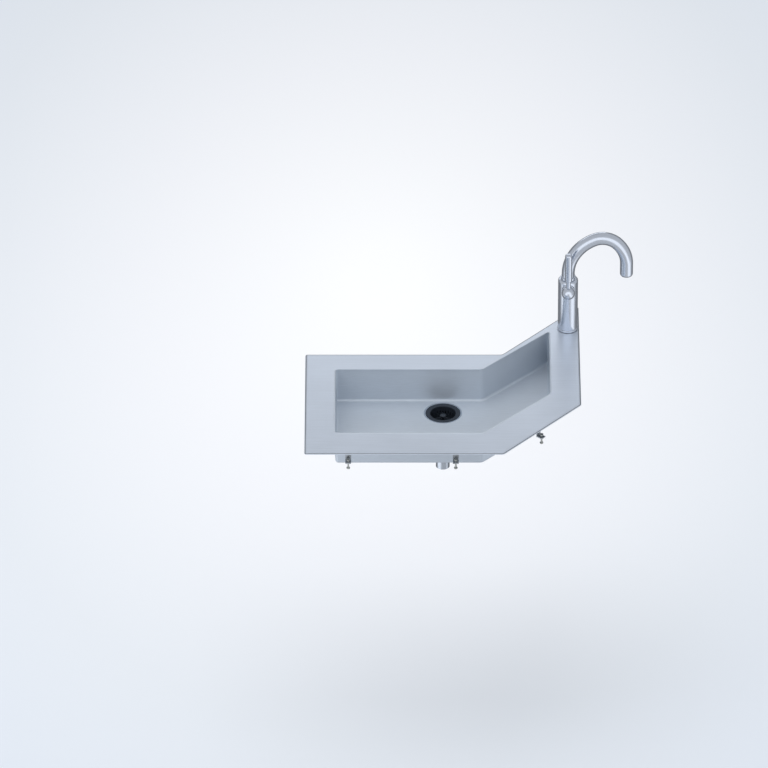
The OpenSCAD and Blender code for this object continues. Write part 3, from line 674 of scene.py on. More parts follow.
def around(count: int, make: Callable[[], bmesh.types.BMesh]) -> list[bmesh.types.BMesh]:
    """Makes a shape again and again, at even turns about the Z axis."""
    return [moved(make(), Matrix.Rotation(math.tau * index / count, 4, "Z")) for index in range(count)]


def cut_by(bm: bmesh.types.BMesh, tools: list[bmesh.types.BMesh], operation: str = "DIFFERENCE",
           ) -> bmesh.types.BMesh:
    """Cuts, or unites, a closed mesh with other closed meshes.

    Args:
        bm: The mesh that is worked on.
        tools: The meshes that cut it, which may be many small ones.
        operation: DIFFERENCE or UNION.

    Returns:
        The result in a new mesh.
    """
    objects = []
    for part in (bm, joined(tools)):
        mesh = bpy.data.meshes.new("cut")
        part.to_mesh(mesh)
        part.free()
        objects.append(bpy.data.objects.new("cut", mesh))
        bpy.context.collection.objects.link(objects[-1])
    modifier = objects[0].modifiers.new("cut", "BOOLEAN")
    modifier.operation = operation
    modifier.solver = "EXACT"
    modifier.object = objects[1]
    result = bmesh.new()
    result.from_object(objects[0], bpy.context.evaluated_depsgraph_get())
    for item in objects:
        mesh = item.data
        bpy.data.objects.remove(item)
        bpy.data.meshes.remove(mesh)
    return result


def add_piece(name: str, bm: bmesh.types.BMesh, finish: Finish, body: Body, *nodes: str) -> bpy.types.Object:
    """Makes a finished piece of a mesh.

    Args:
        name: The piece's name.
        bm: Its mesh, in place; it is freed.
        finish: What it is finished in.
        body: What it rides on.
        nodes: The CAD nodes that it stands for.

    Returns:
        The new object, at the origin.
    """
    for face in bm.faces:
        face.smooth = True
    for edge in bm.edges:
        edge.smooth = edge.calc_face_angle(0.0) < CREASE_ANGLE
    mesh = bpy.data.meshes.new(name)
    bm.to_mesh(mesh)
    bm.free()
    piece = bpy.data.objects.new(name, mesh)
    bpy.context.collection.objects.link(piece)
    mesh.materials.append(finish.material())
    shading = piece.modifiers.new("weighted_normals", "WEIGHTED_NORMAL")
    shading.keep_sharp = True
    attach(piece, body.value)
    if nodes:
        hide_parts(*nodes)
    LOG.info("%s: %d faces on %s", name, len(mesh.polygons), body.value)
    return piece


def eased_copy(name: str, node: str, finish: Finish, body: Body, easing: float) -> bpy.types.Object:
    """A CAD node's own shape with its edges eased, for a piece whose shape is right already."""
    bm = bmesh.new()
    bm.from_mesh(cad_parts[node].data)
    bmesh.ops.remove_doubles(bm, verts=bm.verts[:], dist=MERGE_DIST)
    bmesh.ops.dissolve_limit(bm, angle_limit=math.radians(0.5), verts=bm.verts[:], edges=bm.edges[:])
    sharp = [edge for edge in bm.edges if edge.calc_face_angle(0.0) > CREASE_ANGLE]
    bmesh.ops.bevel(bm, geom=sharp, offset=easing, segments=2, profile=0.5, affect="EDGES",
                    clamp_overlap=True, material=-1)
    return add_piece(name, bm, finish, body, node)


class Outline:
    """A closed outline in plan, counter-clockwise, whose corners are rounded."""

    def __init__(self, corners: list[tuple[float, float]], setback: float, least: float) -> None:
        """Keeps the outline.

        Args:
            corners: Its corners.
            setback: How far from each corner the rounding starts.
            least: The smallest corner radius that insetting leaves.
        """
        self.corners = [Vector(corner) for corner in corners]
        self.setback = setback
        self.least = least

    def _arms(self, index: int) -> tuple[Vector, Vector, float]:
        """Unit vectors from a corner to its neighbours, and half of its inner angle."""
        here = self.corners[index]
        back = (self.corners[index - 1] - here).normalized()
        ahead = (self.corners[(index + 1) % len(self.corners)] - here).normalized()
        return back, ahead, back.angle(ahead) / 2

    def _bulges(self, index: int) -> bool:
        """Whether the corner is convex."""
        back, ahead, _ = self._arms(index)
        return ahead.cross(back) > 0

    def ring(self, bm: bmesh.types.BMesh, inset: float, height: float,
             steps: int = CORNER_STEPS) -> list[bmesh.types.BMEdge]:
        """Adds the outline as a wire.

        Args:
            bm: The mesh that it is added to.
            inset: How far inwards it lies.
            height: Its height.
            steps: Segments of each rounded corner.

        Returns:
            The wire's edges.
        """
        known = set(bm.edges)
        verts = []
        for index, here in enumerate(self.corners):
            back, ahead, half = self._arms(index)
            side = 1 if self._bulges(index) else -1
            place = here + (back + ahead).normalized() * side * inset / math.sin(half)
            verts.append(bm.verts.new((place.x, place.y, height)))
        for index, vert in enumerate(verts):
            bm.edges.new((vert, verts[(index + 1) % len(verts)]))
        for index, vert in enumerate(verts):
            _, _, half = self._arms(index)
            side = 1 if self._bulges(index) else -1
            radius = max(self.setback * math.tan(half) - side * inset, self.least)
            # The bevel's bow is no true arc off a right angle, so its middle is set on the arc's
            cut = radius * (1 / math.sin(half) - 1)
            bmesh.ops.bevel(bm, geom=[vert], offset=cut / (2 - math.sqrt(2)) / math.cos(half),
                            segments=steps, profile=0.5, affect="VERTICES", material=-1)
        return [edge for edge in bm.edges if edge not in known]

    def skin(self, stations: list[tuple[float, float]], filled: bool = False) -> bmesh.types.BMesh:
        """A sheet that runs over rings of the outline.

        Args:
            stations: Each ring's inset and height.
            filled: Whether the last ring is filled, which has to be the only open one at its height.

        Returns:
            The sheet in a new mesh, without thickness.
        """
        bands = []
        for first, second in zip(stations, stations[1:]):
            bands.append(bmesh.new())
            edges = self.ring(bands[-1], *first) + self.ring(bands[-1], *second)
            bmesh.ops.bridge_loops(bands[-1], edges=edges)
        bm = joined(bands)
        bmesh.ops.remove_doubles(bm, verts=bm.verts[:], dist=MERGE_DIST)
        if filled:
            last = [edge for edge in bm.edges if edge.is_boundary
                    and abs(edge.verts[0].co.z - stations[-1][1]) < MERGE_DIST]
            bmesh.ops.edgeloop_fill(bm, edges=last)
        return bm


def quarter(centre: tuple[float, float], radius: float, start: float, end: float,
            steps: int) -> list[tuple[float, float]]:
    """Points along an arc, angles in degrees from the first axis."""
    angles = [math.radians(start + (end - start) * step / steps) for step in range(steps + 1)]
    return [(centre[0] + radius * math.cos(angle), centre[1] + radius * math.sin(angle)) for angle in angles]


def centre_of(node: str) -> Vector:
    """Middle of a CAD node's box."""
    low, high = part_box(node)
    return (Vector(low) + Vector(high)) / 2


@dataclass
class SinkShell:
    """The deck, the bowl and everything fixed under them.

    Attributes:
        main_len: Length of the straight front edge.
        depth: Size from the front edge to the back edge.
        wing: How far the turned end reaches to the right of the bend, and away from the front.
        sheet: Thickness of the sheet.
        slope: Width and fall of the sloping border of the deck.
        edge_turn: How far the rounded edge of that border turns, in degrees.
        brow: Where the border runs into the flat deck, as shares of its width and fall.
        weld: How far outside the bowl's opening its rounded edge starts.
        foot: Radius between the bowl's walls and its floor.
        draft: How far each wall leans in from top to foot.
        bowl_depth: Depth of the bowl below the deck.
        tap_hole: Radius of the tap's hole.
        rim_setback: How far from a corner of the rim its rounding starts.
        bowl_setback: The same at the bowl.
        deck_left: Width of the deck on the left.
        deck_front: Width of the deck in front.
        deck_back: Width of the deck at the back.
        deck_right: Width of the deck at the turned end.
        bend_set: How far the bowl's bend lies to the left of the rim's.
        wing_front_set: How far behind the rim's front corner the bowl's right side starts.
        wing_back_set: How far in front of the rim's back corner it ends.
        dish_gap: Gap round the waste's flange.
        waste_hole: Radius of the hole for the waste.
        reach: How far cutters reach past the sheet.
        seal_in: How far inside the rim the seal starts.
        seal_width: Width of the seal.
        seal_fins: Count of its fins.
        seal_fin: Where a fin's ridge starts and ends and where the dip after it is, in shares of a fin.
        seal_levels: How far the seal's edges and the dips between its fins lie above its fins.
    """

    main_len: float = 543 * MM
    depth: float = 500 * MM
    wing: tuple[float, float] = (215 * MM, 246 * MM)
    sheet: float = 1.2 * MM
    slope: tuple[float, float] = (6 * MM, 2.0 * MM)
    edge_turn: float = 75.0
    brow: tuple[tuple[float, float], ...] = ((0.8, 0.1), (0.92, 0.02), (1.0, 0.0))
    weld: float = 2 * MM
    foot: float = 8 * MM
    draft: float = 2 * MM
    bowl_depth: float = 100 * MM
    tap_hole: float = 17.5 * MM
    rim_setback: float = 6 * MM
    bowl_setback: float = 10 * MM
    deck_left: float = 82 * MM
    deck_front: float = 101 * MM
    deck_back: float = 79 * MM
    deck_right: float = 82.5 * MM
    bend_set: float = 55.5 * MM
    wing_front_set: float = 53 * MM
    wing_back_set: float = 129 * MM
    dish_gap: float = 0.1 * MM
    waste_hole: float = 45 * MM
    reach: float = 10 * MM
    seal_in: float = 1.5 * MM
    seal_width: float = 8 * MM
    seal_fins: int = 3
    seal_fin: tuple[float, float, float] = (0.15, 0.6, 0.85)
    seal_levels: tuple[float, float] = (0.6 * MM, 0.7 * MM)

    def __post_init__(self) -> None:
        """Works out the heights and the two outlines."""
        low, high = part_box("sink_deck")
        self.top, self.lip_low = high[2], low[2]
        self.floor = self.top - self.bowl_depth
        left, front = -self.main_len / 2, low[1]
        bend, right = self.main_len / 2, self.main_len / 2 + self.wing[0]
        back = front + self.depth
        self.rim = Outline([
            (left, front), (bend, front), (right, front + self.wing[1]),
            (right, back + self.wing[1]), (bend, back), (left, back),
        ], self.rim_setback, self.sheet)
        bowl_bend, bowl_right = bend - self.bend_set, right - self.deck_right
        bowl_left, bowl_back = left + self.deck_left, back - self.deck_back
        bowl_front = front + self.deck_front
        self.opening = Outline([
            (bowl_left, bowl_front), (bowl_bend, bowl_front),
            (bowl_right, front + self.wing[1] + self.wing_front_set),
            (bowl_right, back + self.wing[1] - self.wing_back_set),
            (bowl_bend, bowl_back), (bowl_left, bowl_back),
        ], self.bowl_setback, self.sheet)

    def deck(self) -> None:
        """The flat deck with its sloping border, turned-down edge and tap hole."""
        width, fall = self.slope
        edge_round = self.sheet
        border = [(0.0, self.lip_low)]
        border += [(edge_round - radius, height) for radius, height in
                   quarter((0.0, self.top - fall - edge_round), edge_round, 0, self.edge_turn, EDGE_STEPS)]
        border += [(width * across, self.top - fall * down) for across, down in self.brow]
        bm = self.rim.skin(border, True)
        self._face_up(bm)
        bmesh.ops.solidify(bm, geom=bm.faces[:], thickness=self.sheet)
        tap = centre_of("base_ring")
        hole = turned([(0.0, self.top - self.reach, 0), (self.tap_hole, self.top - self.reach, 0),
                       (self.tap_hole, self.top + self.reach, 0), (0.0, self.top + self.reach, 0)], False)
        hole = moved(hole, Matrix.Translation((tap.x, tap.y, 0.0)))
        sheet = cut_by(tidied(bm), [self._mouth(), hole])
        add_piece("deck_sheet", sheet, DECK_STEEL, Body.ROOT, "sink_deck")

    def _mouth(self) -> bmesh.types.BMesh:
        """A block as wide as the deck's opening over the bowl."""
        bm = bmesh.new()
        bmesh.ops.edgeloop_fill(bm, edges=self.opening.ring(bm, -self.weld, self.top - self.reach))
        made = bmesh.ops.extrude_face_region(bm, geom=bm.faces[:])["geom"]
        bmesh.ops.translate(bm, vec=(0, 0, 2 * self.reach),
                            verts=[item for item in made if isinstance(item, bmesh.types.BMVert)])
        return tidied(bm)

    @staticmethod
    def _face_up(bm: bmesh.types.BMesh) -> None:
        """Turns an open sheet so that its flat top faces up."""
        bmesh.ops.remove_doubles(bm, verts=bm.verts[:], dist=MERGE_DIST)
        bmesh.ops.recalc_face_normals(bm, faces=bm.faces[:])
        largest = max(bm.faces, key=lambda face: face.calc_area())
        if largest.normal.z < 0:
            bmesh.ops.reverse_faces(bm, faces=bm.faces[:])

    def bowl(self) -> None:
        """The pressed bowl: rounded top edge, leaning walls, rounded foot and the drain's dish."""
        lead = self.weld + self.sheet
        stations = [(self.sheet - radius, height) for radius, height in
                    quarter((0.0, self.top - lead), lead, 90, 0, 2 * EDGE_STEPS)]
        foot_in = self.sheet + self.draft + self.foot
        stations += [(foot_in + radius, height) for radius, height in
                     quarter((0.0, self.floor + self.foot), self.foot, 180, 270, 2 * EDGE_STEPS)]
        bm = self.opening.skin(stations, True)
        self._face_up(bm)
        bmesh.ops.solidify(bm, geom=bm.faces[:], thickness=self.sheet)
        block, void = self._dish()
        shell = cut_by(cut_by(tidied(bm), [block], "UNION"), [void])
        add_piece("bowl_shell", shell, BOWL_STEEL, Body.ROOT, "bowl")

    def _dish(self) -> tuple[bmesh.types.BMesh, bmesh.types.BMesh]:
        """The outside and the inside of the dish that holds the waste's flange."""
        drain = centre_of("strainer_body")
        low_side, high_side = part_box("strainer_body")
        flange = (high_side[0] - low_side[0]) / 2
        wide, low = flange + self.dish_gap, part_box("waste_gasket")[0][2]
        outside = wide + self.sheet
        block = turned([(0.0, self.floor - self.sheet / 2, 0), (outside, self.floor - self.sheet / 2, 0),
                        (outside, low - self.sheet, self.sheet), (0.0, low - self.sheet, 0)], False)
        void = turned([(0.0, self.floor + self.reach, 0), (wide, self.floor + self.reach, 0),
                       (wide, low, self.sheet), (self.waste_hole, low, 0),
                       (self.waste_hole, low - self.reach, 0), (0.0, low - self.reach, 0)], False)
        place = Matrix.Translation((drain.x, drain.y, 0.0))
        return moved(block, place), moved(void, place)

    def seal(self) -> None:
        """The seal under the rim, with pressed fins along its underside."""
        low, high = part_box("rim_seal")
        fin = self.seal_width / self.seal_fins
        end, (edge, dip) = self.seal_in + self.seal_width, self.seal_levels
        rise, fall, trough = self.seal_fin
        stations = [(self.seal_in, high[2]), (self.seal_in, low[2] + edge)]
        for index in range(self.seal_fins):
            start = self.seal_in + index * fin
            stations += [(start + rise * fin, low[2]), (start + fall * fin, low[2])]
            if index < self.seal_fins - 1:
                stations += [(start + trough * fin, low[2] + dip)]
        stations += [(end, low[2] + edge), (end, high[2])]
        bm = self.rim.skin(stations + stations[:1])
        add_piece("rim_seal_strip", tidied(bm), RUBBER, Body.ROOT, "rim_seal")

    def build(self) -> None:
        """Builds and dresses every piece of the sink."""
        self.deck()
        self.bowl()
        self.seal()
        eased_copy("hook_rails", "rim_rails", GALVANISED, Body.ROOT, CRISP)
        eased_copy("clamp_claws", "hold_down_clamps", GALVANISED, Body.ROOT, EASED)
        eased_copy("claw_screws", "clamp_screws", ZINC, Body.ROOT, BROKEN)
        eased_copy("damping_pads", "sound_pads", DAMPING, Body.ROOT, ROUND)
        eased_copy("earthing_lug", "earth_tag", GALVANISED, Body.ROOT, CRISP)
        eased_copy("tap_plate", "tap_stiffener", GALVANISED, Body.ROOT, BROKEN)


@dataclass
class BasketWaste:
    """The strainer in the bowl's drain, its basket, and what clamps it from below.

    Attributes:
        cup: Radius of the cup's threaded wall.
        cup_wall: Wall of the cup.
        cup_up: Height of the cup's floor above the neck's end.
        cup_rounding: Rounding of the cup's floor.
        neck: Radius of the threaded neck.
        neck_bore: Radius of the bore through it.
        flange_edge: Thickness of the flange.
        seat_drop: How far the basket's seat lies below the flange's top.
        fit: Gap round the basket's rim.
        thread_pitch: Distance between two thread crests.
        thread_depth: Depth of a thread.
        thread_flats: Share of a turn from its end to the crest, and from its middle to the root.
        sheet: Sheet of the basket.
        mouth: Radius of the basket under its rim.
        foot: Radius of the basket's floor.
        rivet: Radius of the hole for the knob's rivet.
        drip_radius: Radius of a drip hole.
        drip_rings: Radius and count of each ring of drip holes.
        wall_slots: Count of the slots in the basket's wall.
        slot: A slot's size outwards, round and up.
        slot_from: Radius and height above the floor where it starts.
        post: Radius of the knob's post.
        grip: Radius of the knob.
        knob_down: How far below the knob's top its waist and the two ends of its grip are, and how
            far its crown is dished.
        knob_crown: Radius of the crown, in shares of the grip's.
        rivet_head: Radius and height of the rivet's head.
        seal_lip: Height of the basket seal's lip above its foot.
        seal_steps: Radii of the basket's seal at its underside and its lip.
        lock_ring: Inner and outer radius of the locknut.
        lug: Size of a locknut's lug outwards and round, and the radius where it starts.
        locknut_lugs: Count of the lugs.
        nut: Radii of the coupling nut: its neck, its tail and its outside.
        nut_floor: Thickness of the nut's floor.
        nut_rib: Size of a rib outwards and round, and the radius where it starts.
        nut_rib_in: How far the ribs stay from the nut's ends.
        nut_ribs: Count of the ribs.
        tail: Radius and wall of the tailpiece, and radius of its lip.
        tail_lip: Thickness of the lip.
        bead_down: Height between the lip and the stop bead.
        bead: Height of a third of the bead, and how far it stands out.
    """

    cup: float = 44.5 * MM
    cup_wall: float = 1.5 * MM
    cup_up: float = 30 * MM
    cup_rounding: float = 4 * MM
    neck: float = 23.9 * MM
    neck_bore: float = 19.5 * MM
    flange_edge: float = 1.8 * MM
    seat_drop: float = 0.9 * MM
    fit: float = 0.3 * MM
    thread_pitch: float = 3 * MM
    thread_depth: float = 0.6 * MM
    thread_flats: tuple[float, float] = (0.12, 0.1)
    sheet: float = 0.9 * MM
    mouth: float = 36 * MM
    foot: float = 33 * MM
    rivet: float = 3.55 * MM
    drip_radius: float = 2.2 * MM
    drip_rings: tuple[tuple[float, int], ...] = ((16 * MM, 8), (21.5 * MM, 14), (27 * MM, 18))
    wall_slots: int = 28
    slot: tuple[float, float, float] = (8 * MM, 2 * MM, 14 * MM)
    slot_from: tuple[float, float] = (31 * MM, 10 * MM)
    post: float = 3.5 * MM
    grip: float = 9 * MM
    knob_down: tuple[float, float, float, float] = (8 * MM, 4.4 * MM, 1.9 * MM, 0.6 * MM)
    knob_crown: float = 0.7
    rivet_head: tuple[float, float] = (8 * MM, 1.5 * MM)
    seal_lip: float = 1.2 * MM
    seal_steps: tuple[float, float] = (9.5 * MM, 11.5 * MM)
    lock_ring: tuple[float, float] = (44.55 * MM, 50 * MM)
    lug: tuple[float, float, float] = (8.25 * MM, 10 * MM, 47.25 * MM)
    locknut_lugs: int = 6
    nut: tuple[float, float, float] = (23.95 * MM, 19.1 * MM, 28.9 * MM)
    nut_floor: float = 2.5 * MM
    nut_rib: tuple[float, float, float] = (3.2 * MM, 2.6 * MM, 27.4 * MM)
    nut_rib_in: float = 1.5 * MM
    nut_ribs: int = 20
    tail: tuple[float, float, float] = (19.05 * MM, 1.5 * MM, 23.3 * MM)
    tail_lip: float = 2 * MM
    bead_down: float = 8.5 * MM
    bead: tuple[float, float] = (1 * MM, 0.9 * MM)

    def __post_init__(self) -> None:
        """Works out the drain's place and its levels from the frame."""
        self.axis = centre_of("strainer_body")
        self.place = Matrix.Translation((self.axis.x, self.axis.y, 0))
        self.flange = self._radius("strainer_body")
        self.flange_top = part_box("strainer_body")[1][2]
        self.basket = self._radius("strainer_basket")

    @staticmethod
    def _radius(node: str) -> float:
        """Half of a CAD node's size along Y."""
        low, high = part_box(node)
        return (high[1] - low[1]) / 2

    def _thread(self, crest: float, start: float, end: float) -> list[Corner]:
        """Crests and roots of a thread along a wall, from one height to another."""
        count = int(abs(end - start) / self.thread_pitch)
        pitch = (end - start) / count
        edge, flat = self.thread_flats
        outline = []
        for turn in range(count):
            for radius, share in ((crest, edge), (crest - self.thread_depth, 0.5 - flat),
                                  (crest - self.thread_depth, 0.5 + flat), (crest, 1 - edge)):
                outline.append((radius, start + (turn + share) * pitch, 0))
        return outline

    def body(self) -> None:
        """The flanged cup with its threaded wall and threaded neck."""
        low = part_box("strainer_body")[0][2]
        cup_low = low + self.cup_up
        floor, inside = cup_low + self.cup_wall, self.cup - self.cup_wall
        under, step = self.flange_top - self.flange_edge, self.flange_top - self.seat_drop
        seat = self.basket + self.fit
        outline = [(seat, self.flange_top, 0.25 * MM), (self.flange, self.flange_top, BLUNT),
                   (self.flange, under, CRISP), (self.cup, under, 0),
                   *self._thread(self.cup, under - 6 * MM, cup_low + 9 * MM),
                   (self.cup, cup_low, self.cup_rounding), (self.neck, cup_low, 0),
                   *self._thread(self.neck, cup_low - 3 * MM, low + 1 * MM),
                   (self.neck, low, EASED), (self.neck_bore, low, EASED),
                   (self.neck_bore, floor, 2 * MM), (inside, floor, self.cup_rounding),
                   (inside, step, SMOOTH), (seat, step, 0)]
        bm = moved(turned(outline), self.place)
        add_piece("strainer_cup", bm, STRAINER_STEEL, Body.ROOT, "strainer_body")

    def strainer(self) -> None:
        """The perforated basket: rolled rim, slotted wall and a floor with rings of drip holes."""
        low, top = (corner[2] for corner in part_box("strainer_basket"))
        sheet = self.sheet
        outline = [(self.rivet, low, 0), (self.foot, low, 3 * MM), (self.mouth, top - sheet, 1.5 * MM),
                   (self.basket, top - sheet, BROKEN), (self.basket, top, BROKEN),
                   (self.mouth - sheet, top, 1.8 * MM), (self.foot - sheet, low + sheet, 2.2 * MM),
                   (self.rivet, low + sheet, 0)]
        holes = []
        for radius, count in self.drip_rings:
            holes += around(count, lambda: drill(self.drip_radius, 6 * MM, (radius, 0, low), DRIP_STEPS))
        out, width, _ = self.slot
        start = (self.slot_from[0], -width / 2, low + self.slot_from[1])
        holes += around(self.wall_slots, lambda: rounded_block(self.slot, start, 0.9 * MM))
        bm = moved(cut_by(turned(outline), holes), self.place)
        add_piece("perforated_basket", bm, DARK_COATING, Body.BASKET, "strainer_basket")

    def knob(self) -> None:
        """The lift knob with its post, waist and rivet head, and the seal under the basket."""
        low, top = (corner[2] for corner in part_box("basket_knob"))
        head, over = self.rivet_head
        waist, under, above, dish = (top - down for down in self.knob_down)
        outline = [(0, low, 0), (head, low, BLUNT), (head, low + over, EASED), (self.post, low + over, 0),
                   (self.post, waist, ROUND), (self.grip, under, 1 * MM), (self.grip, above, 1 * MM),
                   (self.knob_crown * self.grip, top, SOFT), (0, dish, 0)]
        bm = moved(turned(outline, closed=False), self.place)
        add_piece("lift_knob", bm, DARK_COATING, Body.BASKET, "basket_knob")
        low, top = (corner[2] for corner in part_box("basket_seal"))
        under, lip = self.seal_steps
        outline = [(self.rivet, low, 0), (under, low, BLUNT), (lip, low + self.seal_lip, SMOOTH),
                   (lip, top, CRISP), (self.rivet, top, 0)]
        add_piece("foot_seal", moved(turned(outline), self.place), RUBBER, Body.BASKET, "basket_seal")

    def fixings(self) -> None:
        """Gaskets, locknut, coupling nut and tailpiece."""
        for name, node, finish in (("flange_gasket", "waste_gasket", RUBBER),
                                   ("under_washer", "waste_washer", RUBBER),
                                   ("slip_ring", "friction_ring", FIBRE),
                                   ("tail_washer", "tailpiece_washer", RUBBER)):
            eased_copy(name, node, finish, Body.ROOT, CRISP)
        low, top = (corner[2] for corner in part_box("waste_locknut"))
        inner, outer = self.lock_ring
        ring = turned([(inner, low, SMOOTH), (outer, low, ROUND), (outer, top, ROUND),
                       (inner, top, SMOOTH)])
        out, width, start = self.lug
        lugs = around(self.locknut_lugs, lambda: rounded_block(
            (out, width, (top - low) / 2), (start, -width / 2, low), 1 * MM))
        bm = moved(cut_by(ring, lugs, "UNION"), self.place)
        add_piece("lugged_locknut", bm, STRAINER_STEEL, Body.ROOT, "waste_locknut")
        self._coupling()
        self._tailpiece()

    def _coupling(self) -> None:
        """The plastic slip nut, with a rounded crown and grip ribs all round."""
        low, top = (corner[2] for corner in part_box("coupling_nut"))
        neck, tail, outer = self.nut
        floor = low + self.nut_floor
        shell = turned([(tail, low, EASED), (outer, low, 1.6 * MM), (outer, top, 1 * MM),
                        (neck, top, BLUNT), (neck, floor, SMOOTH), (tail, floor, 0)])
        out, width, start = self.nut_rib
        ribs = around(self.nut_ribs, lambda: rounded_block(
            (out, width, top - low - 2 * self.nut_rib_in), (start, -width / 2, low + self.nut_rib_in),
            0.9 * MM))
        bm = moved(cut_by(shell, ribs, "UNION"), self.place)
        add_piece("ribbed_slip_nut", bm, PLASTIC, Body.ROOT, "coupling_nut")

    def _tailpiece(self) -> None:
        """The flanged tail tube with its stop bead and rolled end."""
        low, top = (corner[2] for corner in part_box("tailpiece"))
        tube, wall, lip = self.tail
        under = top - self.tail_lip
        bead, (third, out) = under - self.bead_down, self.bead
        outline = [(tube - wall, top, BROKEN), (lip, top, EASED), (lip, under, EASED),
                   (tube, under, BLUNT), (tube, bead, BROKEN), (tube + out, bead - third, EASED),
                   (tube + out, bead - 2 * third, EASED), (tube, bead - 3 * third, BROKEN),
                   (tube, low, EASED), (tube - wall, low, EASED)]
        add_piece("tail_tube", moved(turned(outline), self.place), STRAINER_STEEL, Body.ROOT, "tailpiece")

    def build(self) -> None:
        """Builds and dresses every piece of the waste."""
        self.body()
        self.strainer()
        self.knob()
        self.fixings()


@dataclass(frozen=True)
class SpoutPath:
    """The centre line of the spout, in the plane through the tap's axis.

    Attributes:
        foot: Height of the tube's lower end on the body.
        straight: Height where the first bend starts.
        peak: Distance and height of the tube's centre at its top.
        crown: Radius of the crown.
        reach: Distance of the outlet.
        drop: How far below the top the last bend ends.
        end: Height of the tube's outlet end.
    """

    foot: float
    straight: float
    peak: tuple[float, float]
    crown: float
    reach: float
    drop: float
    end: float

    def bends(self) -> list[tuple[float, float]]:
        """Angle and radius of the bend up, the crown and the bend down."""
        rise = self.peak[1] - self.straight - self.crown
        run = self.peak[0] - self.crown
        up = 2 * math.atan(run / rise)
        fall = self.drop - self.crown
        out = self.reach - self.peak[0] - self.crown
        down = 2 * math.atan(out / fall)
        return [(up, self.crown + rise / math.sin(up)), (math.pi - down - up, self.crown),
                (down, self.crown + fall / math.sin(down))]


